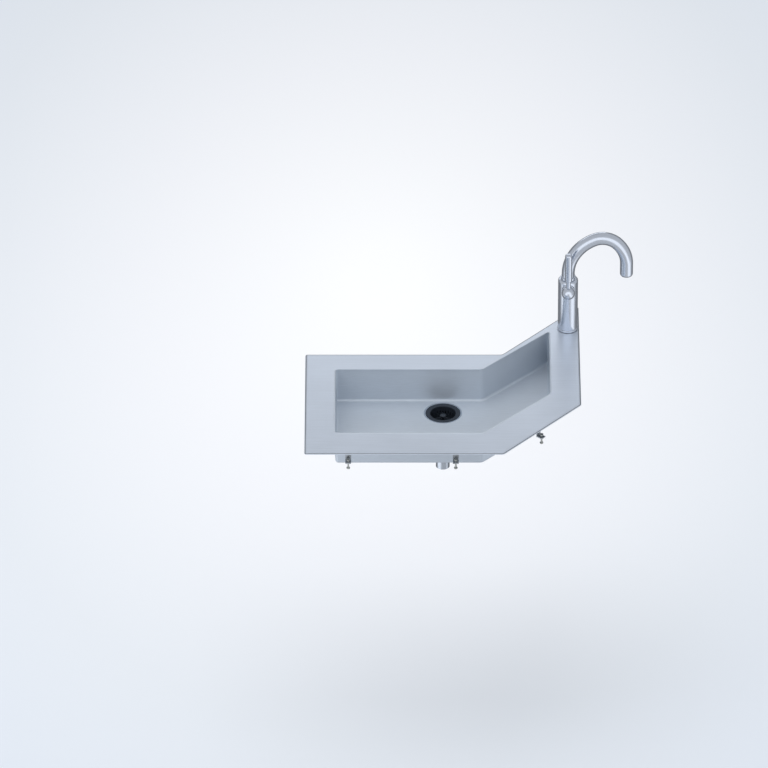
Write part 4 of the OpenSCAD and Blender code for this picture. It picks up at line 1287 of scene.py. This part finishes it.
@dataclass
class Tap:
    """The single-lever tap: body, gooseneck spout, cartridge and lever.

    Attributes:
        radius: Radius of the body.
        heights: Height of the body's lower end and of its shoulder, above the deck.
        shoulder: Rounding of the shoulder.
        post: Radius and height of the spigot that the spout turns on.
        groove: Radius of the spigot's groove, and where it starts and ends above the shoulder.
        boss: Radius and length of the boss for the cartridge.
        cup: Radius of the cartridge's bore, and where it starts and ends along the boss.
        waterway: Radius and upper end of the way from the cartridge to the spout.
        socket: Radius of the shank's socket in the body, and where it starts and ends.
        inlet: Radius of an inlet, of the narrow way above it, and their distance from the axis.
        inlet_heights: Where an inlet starts, narrows and ends.
        ring: Inner and outer radius of the foot ring, and its upper end.
        ring_low: Lower end of the foot ring.
        body_steps: Faces round the body.
        tube: Radius of the spout's tube.
        tube_wall: Its wall.
        tube_steps: Faces round it.
        bend_steps: Steps of half a turn of a bend.
        spout: Centre line of the spout.
        collar: Radii of the spout's collar.
        collar_heights: Where the collar starts and ends.
        screw: Radii of the set screw: its point, its thread, its head and its socket.
        screw_deep: Lengths of its point, its head's slope and its socket.
        screw_at: Distance and height of the collar's set screw.
        screw_hole: Radius of the screw's hole, and half of its length.
        shell: Height of the aerator's shell below the tube, its rounding and its base.
        shell_bore: Radius of the shell's mouth and of its inside.
        plug: Radius and height of the part that sits in the tube.
        insert: Radius of the aerator's insert.
        jets: Radius and count of each ring of holes in the insert.
        jet_radius: Radius of one of these holes.
        reach: How far in front of the axis the hub's centre lies, and its height.
        cap: Radii of the cartridge's cover: its bore, its flange, its shoulder and its top.
        cap_heights: Heights of the cover's flange, shoulder and top.
        ball: Radius of the hub.
        ball_wall: Its wall.
        ball_cuts: Where the ball is cut at its back and at its top.
        ball_steps: Faces round and along the ball.
        pin: Radius of the pin's hole, and half of its length.
        stem: Radii of the lever's stem: its ends and its middle.
        stem_heights: Where the stem starts, where its middle ends, and where it ends.
        bar_play: Play of the lever bar's bore round the stem and above it.
        bar: Radius, lower and upper end of the bar, and its rounding at the top.
        shank: Radius and bore of the mounting shank.
        turns: Where a turn's crest and its root lie, in shares of the thread's pitch.
        thread: Pitch and depth of its thread.
        shank_up: Where the thread starts and the plain end starts, above the deck.
    """

    radius: float = 27.5 * MM
    heights: tuple[float, float] = (6.5 * MM, 164 * MM)
    shoulder: float = 6.5 * MM
    post: tuple[float, float] = (14.6 * MM, 20 * MM)
    groove: tuple[float, float, float] = (13 * MM, 3 * MM, 7.6 * MM)
    boss: tuple[float, float] = (17.05 * MM, 31.5 * MM)
    cup: tuple[float, float, float] = (12.55 * MM, -8 * MM, 33 * MM)
    waterway: tuple[float, float] = (9 * MM, 186 * MM)
    socket: tuple[float, float, float] = (16.05 * MM, 5 * MM, 21.5 * MM)
    inlet: tuple[float, float, float] = (5 * MM, 3.5 * MM, 6.5 * MM)
    inlet_heights: tuple[float, float, float] = (20 * MM, 33.5 * MM, 136 * MM)
    ring: tuple[float, float, float] = (16.3 * MM, 28.5 * MM, 6.5 * MM)
    ring_low: float = 1.5 * MM
    body_steps: int = 96
    tube: float = 17.97 * MM
    tube_wall: float = 2.4 * MM
    tube_steps: int = 48
    bend_steps: int = 40
    spout: SpoutPath = SpoutPath(164.8 * MM, 180 * MM, (93.8 * MM, 293.8 * MM), 58 * MM,
                                 160.8 * MM, 80 * MM, 182 * MM)
    collar: tuple[float, float] = (18.05 * MM, 20.5 * MM)
    collar_heights: tuple[float, float] = (164.8 * MM, 172 * MM)
    screw: tuple[float, float, float, float] = (1.6 * MM, 2 * MM, 1.7 * MM, 1.15 * MM)
    screw_deep: tuple[float, float, float] = (0.6 * MM, 0.4 * MM, 1.6 * MM)
    screw_at: tuple[float, float] = (-19 * MM, 169.3 * MM)
    screw_hole: tuple[float, float] = (2.05 * MM, 8 * MM)
    shell: tuple[float, float, float] = (9 * MM, 7.9 * MM, 1.6 * MM)
    shell_bore: tuple[float, float] = (10 * MM, 10.8 * MM)
    plug: tuple[float, float] = (15.4 * MM, 7 * MM)
    insert: float = 10.7 * MM
    jets: tuple[tuple[float, int], ...] = ((2.9 * MM, 6), (5.7 * MM, 10), (8.5 * MM, 16))
    jet_radius: float = 1.0 * MM
    reach: tuple[float, float] = (43 * MM, 142 * MM)
    cap: tuple[float, float, float, float] = (8 * MM, 15.55 * MM, 12.4 * MM, 9.2 * MM)
    cap_heights: tuple[float, float, float] = (1.3 * MM, 1.5 * MM, 6.5 * MM)
    ball: float = 18.5 * MM
    ball_wall: float = 3 * MM
    ball_cuts: tuple[float, float] = (1.6 * MM, 17.2 * MM)
    ball_steps: tuple[int, int] = (64, 48)
    pin: tuple[float, float] = (2.05 * MM, 22 * MM)
    stem: tuple[float, float] = (3 * MM, 6.5 * MM)
    stem_heights: tuple[float, float, float] = (14.2 * MM, 40 * MM, 48 * MM)
    bar_play: tuple[float, float] = (0.05 * MM, 0.1 * MM)
    bar: tuple[float, float, float, float] = (10 * MM, 40 * MM, 126 * MM, 5 * MM)
    shank: tuple[float, float] = (16 * MM, 13.2 * MM)
    turns: tuple[float, float] = (0.25, 0.4)
    thread: tuple[float, float] = (1.5 * MM, 0.7 * MM)
    shank_up: tuple[float, float] = (2 * MM, 4 * MM)

    def __post_init__(self) -> None:
        """Works out the tap's place and levels from the frame."""
        ring = centre_of("base_ring")
        self.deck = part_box("sink_deck")[1][2]
        self.axis = Vector((ring.x, ring.y, self.deck))
        self.place = Matrix.Translation(self.axis)
        self.hub = self.axis + Vector((0, -self.reach[0], self.reach[1]))

    def body(self) -> None:
        """The body with its rounded shoulder, spigot for the spout and boss for the cartridge."""
        (low, high), (post, rise), (groove, start, end) = self.heights, self.post, self.groove
        shell = turned([(0, low, 0), (self.radius, low, SOFT), (self.radius, high, self.shoulder),
                        (post, high, 0), (post, high + start, 0), (groove, high + start, 0),
                        (groove, high + end, 0), (post, high + end, 0), (post, high + rise, 1 * MM),
                        (0, high + rise, 0)], closed=False, steps=self.body_steps)
        level = self.reach[1]
        to_front = Matrix.Translation((0, 0, level)) @ Matrix.Rotation(math.pi / 2, 4, "X")
        radius, length = self.boss
        boss = turned([(0, 0, 0), (radius, 0, 0), (radius, length, SOFT), (0, length, 0)], closed=False)
        body = cut_by(shell, [moved(boss, to_front)], "UNION")
        way, upper = self.waterway
        bores = [moved(cylinder(*self.cup), to_front), cylinder(way, level, upper), cylinder(*self.socket)]
        wide, narrow, aside = self.inlet
        start, neck, end = self.inlet_heights
        for side in (-1, 1):
            inlet = turned([(0, start, 0), (wide, start, 0), (wide, neck, 0), (narrow, neck, 0),
                            (narrow, end, 0), (0, end, 0)], closed=False, steps=FINE_STEPS)
            bores.append(moved(inlet, Matrix.Translation((side * aside, 0, 0))))
        for cutter in bores:
            body = cut_by(body, [cutter])
        add_piece("mixer_body", moved(body, self.place), TAP_CHROME, Body.ROOT, "tap_body")
        (inner, outer, top), low = self.ring, self.ring_low
        ring = turned([(inner, low, 0), (outer, low, BROKEN), (outer, top, 1.6 * MM), (inner, top, 0)],
                      steps=self.body_steps)
        add_piece("foot_ring", moved(ring, self.place), TAP_CHROME, Body.ROOT, "base_ring")
        eased_copy("foot_gasket", "base_gasket", RUBBER, Body.ROOT, BROKEN)

    def gooseneck(self) -> None:
        """The bent tube, drawn along its centre line by extruding and spinning one circle."""
        path = self.spout
        last = path.peak[1] - path.drop
        bm = bmesh.new()
        start = Matrix.Translation((0, 0, path.foot))
        bmesh.ops.create_circle(bm, segments=self.tube_steps, radius=self.tube, matrix=start)
        edges = self._pulled(bm, bm.edges[:], (0, 0, path.straight - path.foot))
        (up, up_radius), (crown, _), (down, down_radius) = path.bends()
        peak = Vector((path.peak[0], 0, path.peak[1] - path.crown))
        edges = self._bent(bm, edges, Vector((up_radius, 0, path.straight)), up)
        edges = self._bent(bm, edges, peak, crown)
        edges = self._bent(bm, edges, Vector((path.reach - down_radius, 0, last)), down)
        self._pulled(bm, edges, (0, 0, path.end - last))
        bmesh.ops.remove_doubles(bm, verts=bm.verts[:], dist=MERGE_DIST)
        outward(bm, Vector((-1, 0, 0)))
        bmesh.ops.solidify(bm, geom=bm.faces[:], thickness=self.tube_wall)
        add_piece("gooseneck", moved(tidied(bm), self.place), TAP_CHROME, Body.SPOUT, "spout")
        self._collar()
        self._aerator()

    @staticmethod
    def _pulled(bm: bmesh.types.BMesh, edges: list[bmesh.types.BMEdge],
                way: tuple[float, float, float]) -> list[bmesh.types.BMEdge]:
        """Extrudes a circle of edges straight and returns its new edges."""
        made = bmesh.ops.extrude_edge_only(bm, edges=edges)["geom"]
        verts = [item for item in made if isinstance(item, bmesh.types.BMVert)]
        bmesh.ops.translate(bm, vec=way, verts=verts)
        return [item for item in made if isinstance(item, bmesh.types.BMEdge)]

    def _bent(self, bm: bmesh.types.BMesh, edges: list[bmesh.types.BMEdge], centre: Vector,
              angle: float) -> list[bmesh.types.BMEdge]:
        """Spins a circle of edges about an axis along Y and returns its new edges."""
        verts = list({vert for edge in edges for vert in edge.verts})
        steps = max(4, round(self.bend_steps * angle / math.pi))
        made = bmesh.ops.spin(bm, geom=verts + edges, cent=centre, axis=(0, 1, 0), dvec=(0, 0, 0),
                              angle=angle, steps=steps, use_merge=False, use_duplicate=False)["geom_last"]
        return [item for item in made if isinstance(item, bmesh.types.BMEdge)]

    def _collar(self) -> None:
        """Collar, set screw, seals and bearing at the spout's foot."""
        (inner, outer), (low, high) = self.collar, self.collar_heights
        collar = turned([(inner, low, 0), (outer, low, BROKEN), (outer, high, SOFT),
                         (inner, high, BROKEN)])
        radius, half = self.screw_hole
        hole = cylinder(radius, -half, half, FINE_STEPS)
        screw_at = Matrix.Translation((self.screw_at[0], 0, self.screw_at[1]))
        collar = cut_by(collar, [moved(hole, screw_at @ Matrix.Rotation(math.pi / 2, 4, "Y"))])
        add_piece("swivel_collar", moved(collar, self.place), TAP_CHROME, Body.SPOUT, "spout_collar")
        low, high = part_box("spout_screw")
        length = high[0] - low[0]
        (point, thread, head, socket), (nose, slope, deep) = self.screw, self.screw_deep
        outline = [(0, 0, 0), (point, 0, CRISP), (thread, nose, 0), (thread, length - slope, 0),
                   (head, length, 0), (socket, length, 0), (socket, length - deep, 0), (0, length - deep, 0)]
        screw = turned(outline, closed=False, steps=FINE_STEPS)
        at = Matrix.Translation((high[0], self.axis.y, (low[2] + high[2]) / 2))
        add_piece("set_screw", moved(screw, at @ Matrix.Rotation(-math.pi / 2, 4, "Y")), ZINC, Body.SPOUT,
                  "spout_screw")
        eased_copy("swivel_bearing", "spout_bearing", PLASTIC, Body.ROOT, 0.1 * MM)
        dress("spout_seals", RUBBER)

    def _aerator(self) -> None:
        """The aerator's rounded shell, its insert with rings of small holes, and its mesh."""
        end = self.spout.end
        (height, rounding, thick), (mouth, inside), (plug, rise) = self.shell, self.shell_bore, self.plug
        base = end - height
        outline = [(mouth, base, 0), (self.tube, base, rounding), (self.tube, end, 0.25 * MM), (plug, end, 0),
                   (plug, end + rise, EASED), (inside, end + rise, EASED), (inside, base + thick, 0),
                   (mouth, base + thick, 0)]
        outlet = self.place @ Matrix.Translation((self.spout.reach, 0, 0))
        add_piece("aerator_shell", moved(turned(outline), outlet), TAP_CHROME, Body.SPOUT, "aerator_housing")
        low, high = (corner[2] - self.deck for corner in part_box("aerator_insert"))
        disc = turned([(0, low, 0), (self.insert, low, BROKEN), (self.insert, high, BROKEN),
                       (0, high, 0)], closed=False)
        holes = []
        for radius, count in self.jets:
            holes += around(count, lambda: drill(self.jet_radius, 4 * (high - low), (radius, 0, low),
                                                 JET_STEPS))
        add_piece("flow_insert", moved(cut_by(disc, holes), outlet), PLASTIC, Body.SPOUT, "aerator_insert")
        eased_copy("mesh_disc", "aerator_screen", STRAINER_STEEL, Body.SPOUT, 0.05 * MM)

    def cartridge(self) -> None:
        """The cartridge's visible cover, and the hidden pieces behind it."""
        at = Matrix.Translation((0, -self.boss[1], self.reach[1])) @ Matrix.Rotation(math.pi / 2, 4, "X")
        (bore, flange, shoulder, neck), (edge, step, top) = self.cap, self.cap_heights
        cover = turned([(bore, 0, 0), (flange, 0, CRISP), (flange, edge, SMOOTH),
                        (shoulder, step, SMOOTH), (neck, top, BLUNT), (bore, top, BROKEN)])
        add_piece("cartridge_cap", moved(cover, self.place @ at), TAP_CHROME, Body.ROOT, "cartridge_cover")
        eased_copy("ceramic_cartridge", "cartridge", PLASTIC, Body.ROOT, BROKEN)
        dress("cartridge_seal", RUBBER)
        eased_copy("retaining_nut", "cartridge_nut", BRASS, Body.ROOT, BROKEN)
        eased_copy("turning_carrier", "lever_carrier", BRASS, Body.MIXER, BROKEN)

    def lever(self) -> None:
        """The lever: ball hub on its pin, stem and bar."""
        eased_copy("hinge_pin", "lever_pin", ZINC, Body.LEVER, CRISP)
        place = Matrix.Translation(self.hub)
        rear, flat = self.ball_cuts
        bm = bmesh.new()
        bmesh.ops.create_uvsphere(bm, u_segments=self.ball_steps[0], v_segments=self.ball_steps[1],
                                  radius=self.ball)
        moved(bm, Matrix.Rotation(math.pi / 2, 4, "X"))
        for point, normal in (((0, rear, 0), (0, 1, 0)), ((0, 0, flat), (0, 0, 1))):
            bmesh.ops.bisect_plane(bm, geom=bm.verts[:] + bm.edges[:] + bm.faces[:], dist=MERGE_DIST,
                                   plane_co=point, plane_no=normal, clear_outer=True)
        top = [edge for edge in bm.edges if edge.is_boundary
               and all(abs(vert.co.z - flat) < MERGE_DIST for vert in edge.verts)]
        bmesh.ops.holes_fill(bm, edges=top, sides=0)
        outward(bm, Vector((0, -1, 0)))
        bmesh.ops.solidify(bm, geom=bm.faces[:], thickness=self.ball_wall)
        radius, half = self.pin
        bore = cylinder(radius, -half, half, FINE_STEPS)
        hub = cut_by(tidied(bm), [moved(bore, Matrix.Rotation(math.pi / 2, 4, "Y"))])
        add_piece("ball_hub", moved(hub, place), TAP_CHROME, Body.LEVER, "lever_hub")
        (thin, thick), (low, shoulder, high) = self.stem, self.stem_heights
        stem = turned([(0, low, 0), (thin, low, 0), (thin, flat, 0), (thick, flat, ROUND),
                       (thick, shoulder, CRISP), (thin, shoulder, 0), (thin, high, EASED),
                       (0, high, 0)], closed=False)
        add_piece("lever_neck", moved(stem, place), TAP_CHROME, Body.LEVER, "lever_stem")
        radius, low, top, rounding = self.bar
        bore, end = thin + self.bar_play[0], high + self.bar_play[1]
        bar = turned([(bore, end, 0), (bore, low, 0), (radius, low, 1.8 * MM), (radius, top, rounding),
                      (0, top, 0), (0, end, 0)])
        add_piece("lever_grip", moved(bar, place), TAP_CHROME, Body.LEVER, "lever_bar")

    def fixing(self) -> None:
        """The threaded shank and what clamps the tap to the deck."""
        low, high = (corner[2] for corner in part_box("mounting_shank"))
        (radius, bore), (pitch, depth) = self.shank, self.thread
        start, plain = (self.deck + height for height in self.shank_up)
        ridge, root = self.turns
        outline = [(bore, high, BROKEN), (radius, high, BROKEN), (radius, plain, 0)]
        for turn in range(int((start - low) / pitch)):
            crest = start - (turn + ridge) * pitch
            outline += [(radius, crest, 0), (radius - depth, crest - root * pitch, 0)]
        outline += [(radius - depth, low, CRISP), (bore, low, BROKEN)]
        bm = moved(turned(outline, steps=THREAD_STEPS), Matrix.Translation((self.axis.x, self.axis.y, 0)))
        add_piece("threaded_shank", bm, BRASS, Body.ROOT, "mounting_shank")
        eased_copy("fixing_washer", "shank_washer", RUBBER, Body.ROOT, EASED)
        eased_copy("fixing_plate", "shank_plate", GALVANISED, Body.ROOT, BROKEN)
        eased_copy("fixing_nut", "shank_nut", BRASS, Body.ROOT, BLUNT)

    def build(self) -> None:
        """Builds and dresses every piece of the tap."""
        self.body()
        self.gooseneck()
        self.cartridge()
        self.lever()
        self.fixing()


def dress(node: str, finish: Finish) -> None:
    """Gives a CAD node that stays a finish."""
    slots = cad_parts[node].data.materials
    slots.clear()
    slots.append(finish.material())


def set_piece(name: str, bm: bmesh.types.BMesh) -> tuple[bpy.types.Object, Shader]:
    """Adds a piece of the stage with an empty material of its own."""
    mesh = bpy.data.meshes.new(name)
    bm.to_mesh(mesh)
    bm.free()
    piece = bpy.data.objects.new(name, mesh)
    bpy.context.collection.objects.link(piece)
    material = bpy.data.materials.new(name)
    material.use_nodes = True
    mesh.materials.append(material)
    return piece, Shader(material.node_tree)


@dataclass(frozen=True)
class LightDome:
    """A dome of soft light that only glossy rays see: bright in front, a pale back wall, dusk behind.

    Places on it are shares of its radius: aside from its middle, ahead towards the camera's side,
    and up. Facing is one straight at the camera and minus one straight away from it.

    Attributes:
        centre: Middle of the dome.
        radius: Its radius.
        base: Strength where no other light lies.
        front: Strength of the light straight ahead.
        front_ahead: Where it starts ahead.
        front_end: Where it ends, further ahead.
        front_low: Where it starts above the horizon's line.
        gap_aside: Where the gap in the front light's lower half ends aside.
        gap_low: Where that gap ends upwards.
        strip: Strength of the two low lights at the sides, and how much more the left one has.
        strip_aside: Where they start aside.
        strip_ahead: Where they start ahead.
        strip_top: Where they end upwards.
        dusk: Share of the light that is missing behind.
        dusk_facing: Where the dusk ends towards the camera.
        wall_at: Middle of the back wall, aside.
        wall_aside: Where the back wall ends aside.
        wall_low: Where it starts upwards.
        wall_behind: Where it starts behind.
        sky: Strength at the back wall's foot, its loss to the top, and its gain to the right.
        sky_heights: Where that loss starts and ends.
        tint: Colour of all this light.
    """

    centre: tuple[float, float, float] = (0.4545, 0.6275, 0.15)
    radius: float = 1.6
    base: float = 0.6
    front: float = 0.62
    front_ahead: Band = (0.45, 0.72)
    front_end: Band = (0.95, 0.99)
    front_low: Band = (-0.48, -0.3)
    gap_aside: Band = (0.2, 0.36)
    gap_low: Band = (-0.1, 0.12)
    strip: tuple[float, float] = (0.7, 0.1)
    strip_aside: Band = (0.35, 0.6)
    strip_ahead: Band = (0.05, 0.3)
    strip_top: Band = (-0.45, -0.2)
    dusk: float = 0.58
    dusk_facing: Band = (-0.5, -0.1)
    wall_at: float = -0.21
    wall_aside: Band = (0.34, 0.46)
    wall_low: Band = (0.12, 0.26)
    wall_behind: Band = (0.5, 0.62)
    sky: tuple[float, float, float] = (1.386, 0.936, 0.5)
    sky_heights: Band = (0.44, 0.7)
    tint: tuple[float, float, float, float] = linear(247, 250, 255)

    def build(self, towards: Vector) -> None:
        """Builds the dome.

        Args:
            towards: Direction to the camera.
        """
        bm = bmesh.new()
        bmesh.ops.create_icosphere(bm, subdivisions=5, radius=self.radius)
        bmesh.ops.translate(bm, vec=self.centre, verts=bm.verts[:])
        dome, shader = set_piece("light_dome", bm)
        coords = shader.node("ShaderNodeTexCoord", output="Object")
        size = 1 / self.radius
        out = shader.node("ShaderNodeMapping", None,
                          {"Vector": coords, "Location": tuple(-value * size for value in self.centre),
                           "Scale": (size, size, size)})
        glow = shader.node("ShaderNodeEmission", None,
                           {"Color": self.tint, "Strength": self._strength(shader, out, towards)}, "Emission")
        shader.node("ShaderNodeOutputMaterial", None, {"Surface": glow})
        dome.visible_camera = dome.visible_diffuse = dome.visible_shadow = False
        dome.visible_transmission = False

    def _strength(self, shader: Shader, out: Socket, towards: Vector) -> Socket:
        """Strength of the light in a direction from the dome's middle."""
        facing = shader.node("ShaderNodeVectorMath", {"operation": "DOT_PRODUCT"},
                             {0: out, 1: tuple(towards)}, "Value")
        side, height = shader.axis(out, "X"), shader.axis(out, "Z")
        behind = shader.axis(out, "Y")
        ahead, aside = behind * -1.0, abs(side)
        gap = (1 - shader.ramp(aside, *self.gap_aside)) * (1 - shader.ramp(height, *self.gap_low))
        front = shader.ramp(ahead, *self.front_ahead) * (1 - shader.ramp(ahead, *self.front_end))
        front = front * (1 - gap) * shader.ramp(height, *self.front_low)
        strips = shader.ramp(aside, *self.strip_aside) * shader.ramp(ahead, *self.strip_ahead)
        strips = strips * (1 - shader.ramp(height, *self.strip_top)) * (self.strip[0] - side * self.strip[1])
        dusk = (1 - shader.ramp(facing, *self.dusk_facing)) * self.dusk
        wall = 1 - shader.ramp(abs(side - self.wall_at), *self.wall_aside)
        wall = wall * shader.ramp(height, *self.wall_low) * shader.ramp(behind, *self.wall_behind)
        foot, loss, gain = self.sky
        sky = foot - shader.ramp(height, *self.sky_heights) * loss + side * gain
        return (self.base + front * self.front + strips) * (1 - dusk) * (1 - wall) + sky * wall


@dataclass
class Studio:
    """Floor, soft light and the long-lens camera.

    Attributes:
        floor_drop: How far the floor lies below the worktop.
        floor_size: Half width of the floor.
        painted_light_tones: Places of the floor's painted pool of light from its white middle outwards, and
            their colours.
        aim: Point that the camera looks at.
        elevation: Camera's height above the horizon, in degrees, straight in front.
        frame_width: Width of the view at the aim, in metres.
        lens: Focal length and sensor width, in millimetres.
        clip: Nearest and furthest distance that the camera sees.
        painted_light_at: Middle of the painted pool of light on the floor, in plan.
        painted_light_reach: Where the painted pool of light starts and stops fading from white, measured
            across the view.
        surround: Strength and colour of the even light from all round.
        overhead: Power of the panel above, in watts.
        overhead_at: Its place.
        overhead_size: Its length and width.
        overhead_tilt: Its lean, in degrees.
    """

    floor_drop: float = 0.9
    floor_size: float = 150.0
    # Painted pool of light on the floor: white in the middle, fading to pale blue outwards
    painted_light_tones: tuple[tuple, ...] = ((0.0, linear(255, 255, 255)), (0.35, linear(244, 245, 248)),
                                      (0.7, linear(231, 235, 240)), (1.0, linear(226, 232, 240)))
    aim: tuple[float, float, float] = (-0.0545, 0.3430, 0.0037)
    elevation: float = 33.0
    frame_width: float = 2.112
    lens: tuple[float, float] = (500.0, 36.0)
    clip: tuple[float, float] = (1.0, 400.0)
    painted_light_at: tuple[float, float] = (-0.05, 2.3)
    painted_light_reach: tuple[float, float] = (0.1, 1.8)
    surround: tuple[float, tuple] = (0.91, linear(250, 252, 255))
    overhead: float = 24.0
    overhead_at: tuple[float, float, float] = (-0.5, 0.6, 2.6)
    overhead_size: tuple[float, float] = (2.6, 2.0)
    overhead_tilt: float = -10.0

    def towards(self) -> Vector:
        """Direction from the sink to the camera."""
        tilt = math.radians(self.elevation)
        return Vector((0, -math.cos(tilt), math.sin(tilt)))

    def camera(self) -> None:
        """A long lens at the photograph's viewing angle."""
        data = bpy.data.cameras.new("camera")
        data.lens, data.sensor_width = self.lens
        distance = self.frame_width * self.lens[0] / self.lens[1]
        data.clip_start, data.clip_end = self.clip
        camera = bpy.data.objects.new("camera", data)
        camera.location = Vector(self.aim) + distance * self.towards()
        camera.rotation_euler = (math.pi / 2 - math.radians(self.elevation), 0, 0)
        bpy.context.collection.objects.link(camera)
        bpy.context.scene.camera = camera

    def floor(self) -> None:
        """A wide pale floor with a painted pool of light: white in the middle and faintly blue further out.
        """
        bm = bmesh.new()
        bmesh.ops.create_grid(bm, x_segments=4, y_segments=4, size=self.floor_size)
        bmesh.ops.translate(bm, vec=(0, 0, -self.floor_drop), verts=bm.verts[:])
        floor, shader = set_piece("pale_floor", bm)
        floor.visible_glossy = False
        coords = shader.node("ShaderNodeTexCoord", output="Object")
        squeeze = math.sin(math.radians(self.elevation))
        place = (-self.painted_light_at[0], -self.painted_light_at[1] * squeeze, self.floor_drop)
        centred = shader.node("ShaderNodeMapping", None,
                              {"Vector": coords, "Location": place, "Scale": (1.0, squeeze, 1.0)})
        far = shader.node("ShaderNodeVectorMath", {"operation": "LENGTH"}, {0: centred}, "Value")
        share = (far - self.painted_light_reach[0]) / (self.painted_light_reach[1] - self.painted_light_reach[0])
        # Painted pool of light: the floor's colour is white round its middle and fades to pale blue further
        # out
        colour = shader.node("ShaderNodeValToRGB", {"stops": self.painted_light_tones}, {"Fac": share}, "Color")
        bsdf = shader.node("ShaderNodeBsdfPrincipled", None,
                           {"Base Color": colour, "Roughness": 1.0, "Specular IOR Level": 0.0}, "BSDF")
        shader.node("ShaderNodeOutputMaterial", None, {"Surface": bsdf})

    def lights(self) -> None:
        """A large soft panel overhead, and an even surrounding light."""
        data = bpy.data.lights.new("overhead_panel", "AREA")
        data.shape, data.energy = "RECTANGLE", self.overhead
        data.size, data.size_y = self.overhead_size
        panel = bpy.data.objects.new("overhead_panel", data)
        panel.location = self.overhead_at
        panel.rotation_euler = (0, math.radians(self.overhead_tilt), 0)
        panel.visible_glossy = False
        bpy.context.collection.objects.link(panel)
        world = bpy.data.worlds.new("soft_surround")
        bpy.context.scene.world = world
        world.use_nodes = True
        shader = Shader(world.node_tree)
        strength, colour = self.surround
        glow = shader.node("ShaderNodeBackground", None, {"Color": colour, "Strength": strength})
        shader.node("ShaderNodeOutputWorld", None, {"Surface": glow})

    def build(self) -> None:
        """Sets the whole stage."""
        self.camera()
        self.floor()
        LightDome().build(self.towards())
        self.lights()
        bpy.context.scene.view_settings.view_transform = "Standard"


def write_sizes() -> None:
    """Defines a helper that turns a box into plain lists; it writes nothing."""
    def plain(box: tuple) -> list[list[float]]:
        """A box as plain lists."""
        return [[round(float(value), 6) for value in corner] for corner in box]


def main() -> None:
    """Builds the stage and the sink's assemblies."""
    logging.basicConfig(level=logging.INFO, format="%(name)s %(message)s")
    Studio().build()
    SinkShell().build()
    BasketWaste().build()
    Tap().build()
    write_sizes()


if __name__ == "__main__":
    main()
